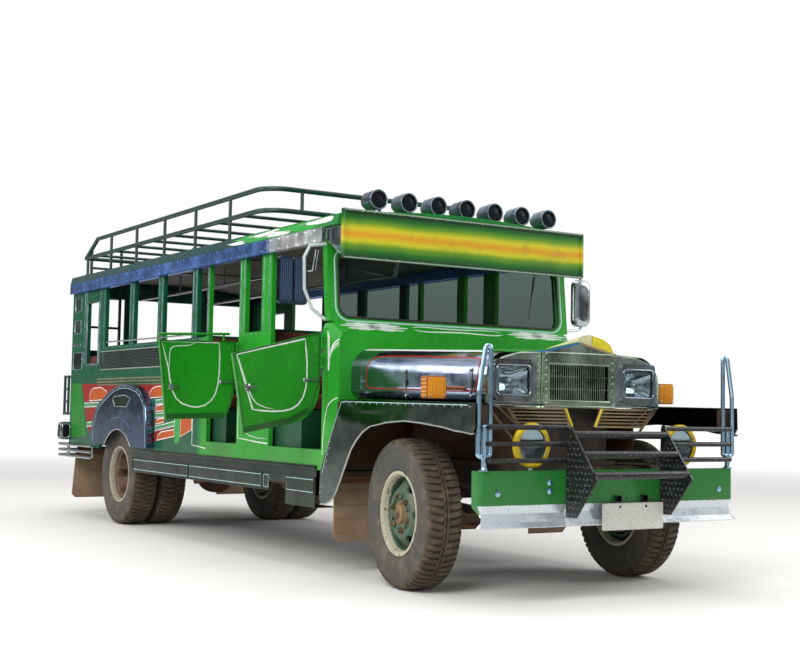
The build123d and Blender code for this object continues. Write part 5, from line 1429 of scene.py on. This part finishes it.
def add_lozenge(mesh, a, b, face_y, out, tilt, finish):
    """One raised lozenge of checker plate about (a, b) in X and Z, tilted one way or the other."""
    tips = [(a - 11, b - 7 * tilt), (a + 2.5 * tilt, b - 4), (a + 11, b + 7 * tilt), (a - 2.5 * tilt, b + 4)]
    ring = [mesh.verts.new(at((x, face_y - out * 0.3, z))) for x, z in tips]
    crest = mesh.verts.new(at((a, face_y + out * 2.2, b)))
    mesh.faces.new(ring).material_index = finish
    for k in range(4):
        mesh.faces.new((ring[k], ring[(k + 1) % 4], crest)).material_index = finish


bumper_x = 760
bumper_bolts = [(755, 558), (430, 566), (430, 608)]
bolt_head = [(-1, 13), (6, 13), (8, 10.5), (9, 0)]
wedge_y, wedge_half = 321, 5
lozenge_pitch = 30
post_x, post_y = 748, 832
post_collars = [
    # height, sides, profile
    (668, 20, [(0, 27), (5, 27), (9, 18), (16, 15)]), (890, 16, [(-4, 14.5), (0, 15.5), (4, 13), (6, 0)]),
]
front_trim = bmesh.new()
for side in (-1, 1):
    for y, z in bumper_bolts:
        add_turned(front_trim, (bumper_x, side * y, z), (1, 0, 0), [(0, 17), (2, 17), (2.5, 14)], 16, 1)
        add_turned(front_trim, (bumper_x + 1.5, side * y, z), (1, 0, 0), bolt_head, 6, 1)
    for out in (-1, 1):
        face_y = side * wedge_y + out * wedge_half
        for row in range(15):
            for column in range(8):
                a = 776 + (column + row % 2 / 2) * lozenge_pitch
                b = 450 + row * lozenge_pitch
                if inside(wedge_outline, a - 10, b) and inside(wedge_outline, a + 10, b + 6):
                    add_lozenge(front_trim, a, b, face_y, out, 1 if (row + column) % 2 else -1, 2)
    for z, sides, profile in post_collars:
        add_turned(front_trim, (post_x, side * post_y, z), (0, 0, 1), profile, sides, 1)
    for z in (719, 802, 885):
        add_turned(front_trim, (776, side * wedge_y, z), (0, side, 0), [(4, 19), (8, 18), (13, 14)], 14, 0)
make_piece("bar_trim", front_trim, [black_tube, post_steel_painted_sky, worn_tread], smooth=35)

# Number plate: pressed aluminium in white enamel with a raised rim, left blank, hung from its bracket.
plate_white = line_paint("plate_white", (0.66, 0.67, 0.62), 0.3)
plate_x = 790
plate_rim = rounded(-106, 307, 363, 492, 8)
bracket_half = 13
number_plate = bmesh.new()
place = front_place(plate_x)
add_plate(number_plate, rounded(-111, 312, 358, 497, 10), place, 0, 1.2, 1)
add_tube(number_plate, [place(a, b, 1) for a, b in plate_rim], 2.4, 6, 0, closed=True)
for y in (10, 190):
    for back, low in ((plate_x - 4, 440), (bumper_x, 506)):
        add_block(number_plate, (back, y - bracket_half, low), (plate_x - 1, y + bracket_half, 535), 1)
    add_turned(number_plate, place(y, 478, 0), (1, 0, 0), [(0, 7), (4, 7), (6, 4), (6.5, 0)], 12, 1)
make_piece("number_plate", number_plate, [plate_white, black_tube])

# Doors: light green panels on outside hinges, with hand-drawn white outlines, a folded edge, a
# strap and a latch; the open ones turn their outer face forward.
door_rows = [
    # body, pin x, side, opened
    ("door_front_left", -795, 1, False), ("door_front_right", -795, -1, True),
    ("door_second_left", -1976, 1, False), ("door_second_right", -1976, -1, True),
]
door_lines = {
    # points as distance back from the pin and height: width, closed, points
    "front": [
        (9, True, [(575, 1258), (463, 950), (400, 943), (330, 941), (260, 944), (205, 956), (160, 982),
                   (128, 1022), (110, 1075), (103, 1140), (104, 1230), (112, 1300), (120, 1366)]),
        (6, False, [(562, 1236), (500, 1080), (455, 1000), (400, 968), (320, 952)]),
    ],
    "second": [
        (9, True, [(556, 1378), (502, 1202), (490, 1130), (474, 1070), (445, 1015), (400, 980), (340, 962),
                   (290, 957), (235, 970), (190, 1000), (158, 1045), (140, 1110), (132, 1200), (132, 1300),
                   (138, 1384)]),
        (6, False, [(495, 1202), (497, 1300), (470, 1345), (369, 1356), (315, 1374)]),
    ],
}
door_edges = {
    "front": [(22, 1404), (596, 1258), (553, 1036), (517, 820), (210, 877), (82, 939), (22, 1120)],
    "second": [(22, 1394), (567, 1378), (535, 1120), (510, 883), (88, 895), (46, 984), (22, 1150)],
}
door_latches = {"front": (500, 1075), "second": (480, 1085)}
door_screws = {"front": (1230, 1250, 1352, 1368), "second": (1206, 1224, 1342, 1358)}
pin_y, door_half = 912, 10
opened_sin, opened_cos = 0.0872, 0.9962


def door_place(pin_x, side, opened, depth=door_half):
    """Distance back from the pin, height, and out from the panel's outer face."""
    def place(a, b, out):
        reach = depth + out
        if not opened:
            return (pin_x - a, side * (pin_y + reach), b)
        return (pin_x + opened_sin * a + opened_cos * reach, -pin_y - opened_cos * a + opened_sin * reach, b)
    return place


door_green = enamel("door_green", (0.014, 0.26, 0.012), (0.010, 0.17, 0.010), (0.6, 1.2, 0.1), 0.16)
edge_green = enamel("edge_green", (0.008, 0.10, 0.014), (0.006, 0.07, 0.01), (0.6, 1.2, 0.15))
door_grey = dusty_paint("door_grey", (0.05, 0.06, 0.055), (0.10, 0.09, 0.06), 10.0, 0.5, (0.6, 1.4, 0.3))
for body, pin_x, side, opened in door_rows:
    kind = body.split("_")[1]
    dress(door_green, body)
    place = door_place(pin_x, side, opened)
    inner = door_place(pin_x, side, opened, -door_half)
    out_way = Vector(place(0, 0, 1)) - Vector(place(0, 0, 0))
    trim = bmesh.new()
    for width, closed, points in door_lines[kind]:
        line = points if closed else eased(points, 4)
        add_stroke(trim, line, width, place, 0, closed=closed, pointed=not closed)
    outline = door_edges[kind]
    add_tube(trim, [place(a, b, 0) for a, b in outline], 4.5, 6, 1, closed=True)
    fold = outline[3:6] if kind == "front" else outline[3:5]
    add_plate(trim, fold + [(a - (6 if a > 300 else -8), b + 30) for a, b in fold[::-1]], place, 1, 1.6)
    add_tube(trim, [place(20, 1130, 8), place(70, 1129, 14), place(116, 1126, 4)], 6, 8, 2)
    add_turned(trim, place(116, 1126, -1), out_way, [(0, 14), (5, 13), (8, 8), (9, 0)], 14, 2)
    back, height = door_latches[kind]
    add_turned(trim, place(back, height, -1), out_way, [(0, 22), (3, 21), (6, 12), (22, 9), (24, 0)], 16, 2)
    handle = [place(back - 45, height + 3, 20), place(back, height, 22), place(back + 26, height, 20)]
    add_tube(trim, handle, 6.5, 8, 2)
    for z in door_screws[kind]:
        add_turned(trim, place(60, z, 0), out_way, small_head, 8, 2)
    card = [(a * 0.82 + 52, (b - 1100) * 0.84 + 1100) for a, b in outline]
    add_plate(trim, card, lambda a, b, out: inner(a, b, 12 - out), 3, 2.0, 2.0)
    add_tube(trim, [inner(a, b, 10) for a, b in card], 3.5, 6, 3, closed=True)
    pull = [inner(back - 60, height, 6), inner(back - 55, height, -6), inner(back + 5, height, -6)]
    add_tube(trim, pull, 5, 8, 2)
    make_piece(body + "_trim", trim, [paint_white, edge_green, rod_chrome, door_grey], body, smooth=50)

# Mirrors: one bulged chromed head on the left, two ribbed heads side by side on the right, their
# tube stays painted white.
mirror_back = polished("mirror_back", (0.50, 0.56, 0.60), 0.12, 0.2, 0.006, (0.0, 0.1, 0.0))
mirror_ribs = polished("mirror_ribs", (0.07, 0.11, 0.18), 0.3, 0.2, 0.002, (0.0, 0.1, 0.0))
lay_over(mirror_back, share_along(mirror_back.node_tree, "Y", -1003, -1001, 1, 0), (0.05, 0.08, 0.13))
mirror_glass, _, _ = begin_finish("mirror_glass", (0.8, 0.84, 0.86), 1.0, 0.02)
stay_white = line_paint("stay_white", (0.50, 0.56, 0.56))
dark_plastic = dusty_paint("dark_plastic", (0.018, 0.018, 0.02), (0.04, 0.04, 0.04), 20.0, 0.5,
                           (0.2, 1.0, 0.2))
dress(mirror_back, "mirrors")


def back_place(surface):
    """Places a point of a face that looks back: across along Y, then Z, out from the face."""
    return lambda a, b, out: (surface - out, a, b)


head_rib_x, head_ribs = -803.5, 6
right_heads = [
    # inner edge, outer edge, both towards the right
    (1008, 1099), (1103, 1194),
]
mirror_trim = bmesh.new()
add_plate(mirror_trim, rounded(1017, 1141, 1551, 1847, 38, 5), back_place(-840), 0, 1.2)
for low_y, high_y in right_heads:
    add_plate(mirror_trim, rounded(-high_y + 7, -low_y - 7, 1575, 1838, 14), back_place(-838), 0, 1.2)
    add_plate(mirror_trim, rounded(-high_y + 2, -low_y - 2, 1569, 1844, 18), front_place(-805), 2, 1.5)
    for rib in range(head_ribs):
        y = -high_y + 14 + rib * (high_y - low_y - 28) / (head_ribs - 1)
        add_tube(mirror_trim, [(head_rib_x, y, 1585), (head_rib_x, y, 1828)], 3, 6, 2)
stay = [(-785, -896, 1488), (-800, -976, 1544), (-800, -1031, 1661), (-800, -1036, 1848), (-800, -1000, 1918),
        (-795, -896, 1936)]
add_tube(mirror_trim, stay, 10.6, 10, 1)
make_piece("mirror_faces", mirror_trim, [mirror_glass, stay_white, mirror_ribs], smooth=50)

# Side steps: pressed skirts in polished sheet made near-black and greenish as a painted reflection of
# dark green surroundings, with pale lines along their edges, lapped seams, rivets and a raised blank panel.
# Near-black greenish base colour: painted dark reflection in the steel, also used on the rear step plate.
step_steel_painted_dark_reflection = polished("step_steel_painted_dark_reflection", (0.045, 0.062, 0.052), 0.10, 0.16, 0.014, (0.3, 0.7, 0.04))
dress(step_steel_painted_dark_reflection, "side_steps")
step_half = 905
step_panels = [
    # rear x, front x of each lined panel
    (-3868, -2780), (-2740, -1580), (-1540, -1470), (-1220, -870),
]
step_gap = (-1465, -1222)
step_edges = [
    # rear x, front x, height, out from the skirt, radius
    (-3880, -855, 613, 0, 5), (-3880, -1462, 449, -1, 4),
]
step_trim = bmesh.new()
for side in (-1, 1):
    place = side_place(side, step_half)
    for first, last in step_panels:
        outline = [(first, 466), (last, 466), (last, 540), (first, 540)]
        add_stroke(step_trim, outline, 4, place, 1, closed=True)
    for x in (-3870, -2760, -1560, -866):
        add_tube(step_trim, [place(x, 452, 1), place(x, 554, 1)], 3.5, 6, 0)
    for rear_x, front_x, z, out, radius in step_edges:
        add_tube(step_trim, [place(rear_x, z, out), place(front_x, z, out)], radius, 8, 0)
    add_plate(step_trim, rounded(-3420, -2960, 474, 532, 14), place, 0, 2.4)
    for x in range(-3850, -860, 96):
        for z in (458, 548):
            if not step_gap[0] < x < step_gap[1]:
                add_turned(step_trim, place(x, z, 0), (0, side, 0), small_head, 8, 0)
    for x in range(-1215, -860, 26):
        add_tube(step_trim, [(x, side * 762, 378.5), (x, side * 896, 378.5)], 2, 6, 0)
make_piece("step_trim", step_trim, [step_steel_painted_dark_reflection, line_pale])

# Rear dome fenders: half domes of blue-tinged steel with a raised rim, a beaded arch and a blank
# six-sided plate under a bright frame.
dome_steel = polished("dome_steel", (0.10, 0.16, 0.28), 0.07, 0.14, 0.016, (0.4, 0.9, 0.03))
dress(dome_steel, "rear_fenders")
dome_half = 957
dome_x, dome_foot = -4106, 640
dome_rim = [(-4722, 645), (-4718, 792), (-4627, 922), (-4545, 975), (-4463, 1009), (-4345, 1052),
            (-4225, 1092), (-4090, 1116), (-3954, 1122), (-3820, 1115), (-3690, 1089), (-3608, 1056),
            (-3549, 1012), (-3510, 965), (-3491, 905), (-3457, 673), (-3457, 645)]
hex_plate = [(-4227, 1013), (-4182, 1033), (-3947, 1045), (-3821, 1020), (-3903, 952), (-4175, 956)]
bead_arch = eased([(-4367, 787), (-4310, 826), (-4240, 847), (-4160, 862), (-4076, 869), (-4000, 860),
                   (-3929, 839), (-3860, 805), (-3799, 761)], 3)
arch_turns = [radians(degrees) for degrees in range(142, 38, -6)]
wheel_arch = [(dome_x + 396 * cos(turn), tyre_radius + 366 * sin(turn)) for turn in arch_turns]


def drawn_in(points, share):
    """Points drawn in towards the middle of the dome's foot."""
    return [(dome_x + (x - dome_x) * share, dome_foot + (z - dome_foot) * share) for x, z in points]


dome_trim = bmesh.new()
for side in (-1, 1):
    place = side_place(side, dome_half)
    add_tube(dome_trim, [place(x, z, -2) for x, z in dome_rim], 7, 8, 0)
    add_stroke(dome_trim, drawn_in(dome_rim, 0.955), 4, place, 2)
    # The dome's wheel opening edge in the same pale steel: a painted highlight.
    add_tube(dome_trim, [place(x, z, -2) for x, z in wheel_arch], 5, 8, 1)
    add_tube(dome_trim, [place(x, z, 1) for x, z in bead_arch], 6, 8, 0)
    add_plate(dome_trim, hex_plate, place, 3, 2.2)
    add_tube(dome_trim, [place(a, b, 2) for a, b in hex_plate], 4.5, 8, 1, closed=True)
    for x, z in drawn_in(dome_rim[1:-2], 0.975):
        add_turned(dome_trim, place(x, z, 0), (0, side, 0), small_head, 8, 1)
make_piece("dome_trim", dome_trim, [dome_steel, bright_trim_and_arch_highlight, line_pale, panel_dark])

# Mud flaps: belting rubber bleached by dust, bolted under a steel strip.
flap_rubber = dusty_paint("flap_rubber", (0.20, 0.135, 0.08), (0.27, 0.19, 0.12), 4.0, 0.85, (0.0, 0.9, 0.4))
dress(flap_rubber, "mud_flaps")
flap_rows = [
    # x, strip from and to, ribs from and to, all out from the middle
    (-692, 566, 854, 575, 850), (-5332, 476, 874, 486, 870),
]
flap_bolts = 5
flap_trim = bmesh.new()
for side in (-1, 1):
    for x, strip_in, strip_out, rib_in, rib_out in flap_rows:
        y0, y1 = sorted((side * strip_in, side * strip_out))
        add_block(flap_trim, (x, y0, 528), (x + 4, y1, 556), 0)
        for k in range(flap_bolts):
            y = side * (strip_in + 24 + k * (strip_out - strip_in - 46) / (flap_bolts - 1))
            add_turned(flap_trim, (x + 4, y, 542), (1, 0, 0), [(0, 8), (5, 8), (6, 0)], 6, 0)
        for z in (240, 320, 400, 480):
            add_tube(flap_trim, [(x, side * rib_in, z), (x, side * rib_out, z)], 2.2, 6, 1)
make_piece("flap_trim", flap_trim, [rusty_steel, flap_rubber])

# Rear end: bent chrome rails round the back with clamps, a ribbed step plate, and beads and rivets
# round the entry and the rear windows.
dress(rod_chrome, "rear_bumper")
rail_x, rear_x = -5760, -5510
clamp_profile = [(0, 14), (2, 16), (22, 16), (24, 14)]
rear_openings = [
    # left and right edge, foot, top, corner: the entry and two windows
    (-338, 338, 722, 1938, 12), (412, 808, 1447, 1938, 16), (-808, -412, 1447, 1938, 16),
]
rear_panels = [
    # inner and outer edge, foot, top, corner
    (365, 800, 760, 1080, 10), (365, 800, 1120, 1400, 10),
]
grab_rail = [
    # height, out from the wall
    (900, 5), (930, 40), (1500, 40), (1530, 5),
]
rear_trim = bmesh.new()
for y in (-820, -375, 375, 820):
    for z in (512, 560, 610):
        add_turned(rear_trim, (rail_x, y - 12, z), (0, 1, 0), clamp_profile, 14, 0)
for y in range(-310, 320, 31):
    add_tube(rear_trim, [(-5748, y, 520.5), (-5560, y, 520.5)], 2.6, 6, 1)
place = back_place(rear_x)
for opening in rear_openings:
    add_tube(rear_trim, [place(a, b, 0) for a, b in rounded(*opening)], 6, 8, 2, closed=True)
for side in (-1, 1):
    for panel in rear_panels:
        outline = [(side * a, b) for a, b in rounded(*panel)]
        add_plate(rear_trim, outline, place, 3, 1.5)
        add_tube(rear_trim, [place(a, b, 1) for a, b in outline], 4, 6, 2, closed=True)
    for z in range(640, 1990, 90):
        add_turned(rear_trim, place(side * 870, z, 0), (-1, 0, 0), small_head, 8, 2)
    add_tube(rear_trim, [place(side * 352, z, out) for z, out in grab_rail], 11, 10, 0)
make_piece("rear_trim", rear_trim, [rod_chrome, step_steel_painted_dark_reflection, trim_and_edge_highlight, deep_green], smooth=45)

# Cab: padded dash with round gauges and a glove box, column with its stalk, three pedals, gear lever
# and handbrake, and the ceiling with its two grab rails.
dial_face, _, _ = begin_finish("dial_face", (0.55, 0.56, 0.50), 0.0, 0.4)
dash_green = dusty_paint("dash_green", (0.012, 0.07, 0.03), (0.02, 0.05, 0.03), 12.0, 0.4, (0.6, 1.4, 0.1))
lining = dusty_paint("lining", (0.12, 0.11, 0.09), (0.08, 0.07, 0.055), 3.0, 0.7, (0.0, 0.1, 0.0))
dress(dash_green, "dashboard")
dress(dark_plastic, "steering_wheel")
dash_x = -985
gauges = [
    # across, height, radius
    (420, 1275, 52), (300, 1275, 38), (540, 1275, 38), (300, 1360, 20), (540, 1360, 20),
]
glove_door = [(-700, 1232), (-360, 1232), (-360, 1318), (-700, 1318)]
pedals = [
    # across, x of the pad
    (520, -905), (430, -900), (330, -880),
]
gear_lever = eased([(-1150, 0, 722), (-1155, 4, 860), (-1130, 20, 980), (-1105, 30, 1080)], 4)
cab_rods = [
    # points, radius, sides, finish: gear lever, handbrake and its grip, stalk
    (gear_lever, 9, 10, 2),
    ([(-1120, 150, 722), (-1150, 150, 800), (-1060, 150, 960)], 8, 8, 2),
    ([(-1075, 150, 935), (-1052, 150, 975)], 12, 10, 0),
    ([(-1010, 450, 1202), (-1016, 520, 1215), (-1024, 590, 1228)], 5, 8, 0),
]
cab_knobs = [
    # place, axis, profile, sides: gear knob, gear boot, stalk's tip, horn button
    ((-1105, 30, 1078), (0.2, 0.1, 1), [(0, 10), (8, 20), (22, 25), (36, 20), (44, 0)], 20),
    ((-1150, 0, 721), (0, 0, 1), [(0, 60), (8, 56), (26, 36), (44, 22), (52, 14)], 20),
    ((-1024, 590, 1228), (0, 1, 0.15), [(-2, 5), (4, 9), (22, 9), (28, 0)], 12),
    ((-1142, 420, 1293.5), (-0.8, 0, 0.6), [(-12, 34), (6, 34), (12, 26), (13, 0)], 24),
]
cab = bmesh.new()
place = back_place(dash_x)
for y, z, radius in gauges:
    add_turned(cab, place(y, z, 0), (-1, 0, 0), [(-1, radius), (5, radius), (7, radius - 5)], 28, 0)
    add_turned(cab, place(y, z, 4), (-1, 0, 0), [(0, radius - 6), (1, 0)], 28, 1)
    add_tube(cab, [place(y, z, 6), place(y + radius * 0.5, z + radius * 0.45, 6)], 1.2, 6, 0)
add_tube(cab, [place(a, b, 0) for a, b in glove_door], 3, 6, 0, closed=True)
add_turned(cab, place(-530, 1300, 0), (-1, 0, 0), [(0, 11), (6, 11), (9, 6), (9, 0)], 14, 2)
for y in (-200, -120, -40, 40, 120):
    add_turned(cab, place(y, 1275, 0), (-1, 0, 0), [(0, 12), (4, 12), (12, 9), (18, 8), (19, 0)], 14, 0)
for y, x in pedals:
    add_tube(cab, [(-815, y, 1090), (x + 30, y, 960), (x, y, 880)], 8, 8, 0)
    add_block(cab, (x - 12, y - 28, 850), (x + 2, y + 28, 915), 0)
    for z in (860, 875, 890, 905):
        add_tube(cab, [(x - 12, y - 24, z), (x - 12, y + 24, z)], 2, 6, 0)
for line, radius, sides, finish in cab_rods:
    add_tube(cab, line, radius, sides, finish)
for place, axis, profile, sides in cab_knobs:
    add_turned(cab, place, axis, profile, sides, 0)
make_piece("cab_fittings", cab, [dark_plastic, dial_face, rod_chrome], smooth=50)

ceiling_half, ceiling_top, ceiling_drop = 850, 2090, 62
sheet_ends = [
    # rear x, front x; a covering strip runs between one sheet and the next
    (-5475, -4200), (-4190, -2900), (-2890, -1700), (-1690, -830),
]
ceiling_steps = 12
ceiling_arc = []
for k in range(ceiling_steps + 1):
    y = ceiling_half * (2 * k / ceiling_steps - 1)
    ceiling_arc.append((y, ceiling_top - ceiling_drop * (y / ceiling_half) ** 2))
grab_y, grab_z = 330, 1925
ceiling = bmesh.new()
for ends in sheet_ends:
    strips = [[[ceiling.verts.new(at((x, y, z - down))) for down in (0, 4)] for y, z in ceiling_arc]
              for x in ends]
    rings = [[rear_top, rear_low, front_low, front_top]
             for (rear_top, rear_low), (front_top, front_low) in zip(*strips)]
    add_skin(ceiling, rings)
for (_, rear_end), (front_start, _) in zip(sheet_ends, sheet_ends[1:]):
    x = (rear_end + front_start) / 2
    add_tube(ceiling, [(x, y, z - 5) for y, z in ceiling_arc], 9, 8, 1)
for side in (-1, 1):
    rail = [(-5380, 2062), (-5340, grab_z), (-2000, grab_z), (-1960, 2062)]
    add_tube(ceiling, [(x, side * grab_y, z) for x, z in rail], 14, 10, 1)
    for x in (-4400, -3500, -2700):
        add_tube(ceiling, [(x, side * grab_y, 2070), (x, side * grab_y, grab_z)], 9, 8, 1)
make_piece("ceiling", ceiling, [lining, rod_chrome], smooth=45)

# Seats: stuffed vinyl cushions and backs in dark red, sewn into channels, on sheet bases; the
# cushions swell between their seams.
vinyl = dusty_paint("vinyl", (0.11, 0.022, 0.018), (0.07, 0.016, 0.012), 6.0, 0.42, (0.2, 1.0, 0.1))
cushion_rows = [
    # name, low corner, high corner, fill, channels run along
    ("bench_pad_left", (-5410, 466, 1037), (-2870, 794, 1124), 0.7, "x"),
    ("bench_pad_right", (-5410, -794, 1037), (-2870, -466, 1124), 0.7, "x"),
    ("bench_back_left", (-5410, 809, 1057), (-2870, 861, 1392), 0.6, "x"),
    ("bench_back_right", (-5410, -861, 1057), (-2870, -809, 1392), 0.6, "x"),
    ("cab_pad", (-1650, -830, 952), (-1170, 830, 1054), 0.8, "y"),
    ("cab_back", (-1732, -830, 1070), (-1664, 830, 1466), 0.7, "y"),
    ("second_pad", (-2710, -830, 952), (-2280, 830, 1054), 0.8, "y"),
    ("second_back", (-2792, -830, 1070), (-2724, 830, 1466), 0.7, "y"),
]
swell_frames = 20
swell_most = 0.006
channel_width = 210
long_pad = 2000


def settle_cushion(pad, cap):
    """Blows the cushion up as sewn vinyl over stuffing and keeps each point near its start."""
    start = [v.co.copy() for v in pad.data.vertices]
    cloth = pad.modifiers.new("stuffing", "CLOTH")
    cloth.settings.use_pressure = True
    cloth.settings.uniform_pressure_force = 4
    cloth.settings.effector_weights.gravity = 0
    for step in range(1, swell_frames + 1):
        scene.frame_set(step)
    shown = pad.evaluated_get(bpy.context.evaluated_depsgraph_get())
    ends = [v.co.copy() for v in shown.data.vertices]
    pad.modifiers.remove(cloth)
    scene.frame_set(1)
    for vertex, first, last in zip(pad.data.vertices, start, ends):
        move = last - first
        vertex.co = first + (move if move.length <= cap else move.normalized() * cap)


for name, low, high, fill, along in cushion_rows:
    low, high = Vector(low), Vector(high)
    size = high - low
    shell = bmesh.new()
    start = bmesh.ops.create_cube(shell, size=1)["verts"]
    for vertex in start:
        vertex.co = at(low + Vector(((vertex.co[k] + 0.5) * size[k] for k in range(3))))
    shell_mesh = bpy.data.meshes.new(name)
    shell.to_mesh(shell_mesh)
    shell.free()
    pad = bpy.data.objects.new(name, shell_mesh)
    scene.collection.objects.link(pad)
    remesh = pad.modifiers.new("voxels", "REMESH")
    remesh.mode = "VOXEL"
    remesh.voxel_size = 0.016 if size.length > long_pad else 0.012
    bpy.context.view_layer.update()
    pad.data = bpy.data.meshes.new_from_object(pad.evaluated_get(bpy.context.evaluated_depsgraph_get()))
    pad.modifiers.clear()
    settle_cushion(pad, swell_most)
    run = 0 if along == "x" else 1
    thin = min(range(3), key=lambda k: size[k])
    channel = size[run] / round(size[run] / channel_width) / 1000
    middle = at((low + high) / 2)
    half = size / 2000
    for vertex in pad.data.vertices:
        place = vertex.co - middle
        rounded_off = 1.0
        for k in range(3):
            if k != thin:
                rounded_off *= 1 - min(1.0, abs(place[k]) / half[k]) ** 8 * 0.45
        seam = abs(sin(pi * (place[run] + half[run]) / channel)) ** 0.35
        crown = 0.72 + 0.28 * seam
        if thin == 2 and place[thin] < 0:
            crown = 1.0
            rounded_off = 1.0
        vertex.co[thin] = middle[thin] + place[thin] * crown * rounded_off
    pad.data.materials.clear()
    pad.data.materials.append(vinyl)
    pad.data.shade_smooth()
    pad.modifiers.new("smooth", "SUBSURF").levels = 1
    pad.modifiers["smooth"].render_levels = 1
    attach(pad, "vehicle")
    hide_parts("seat_pads")
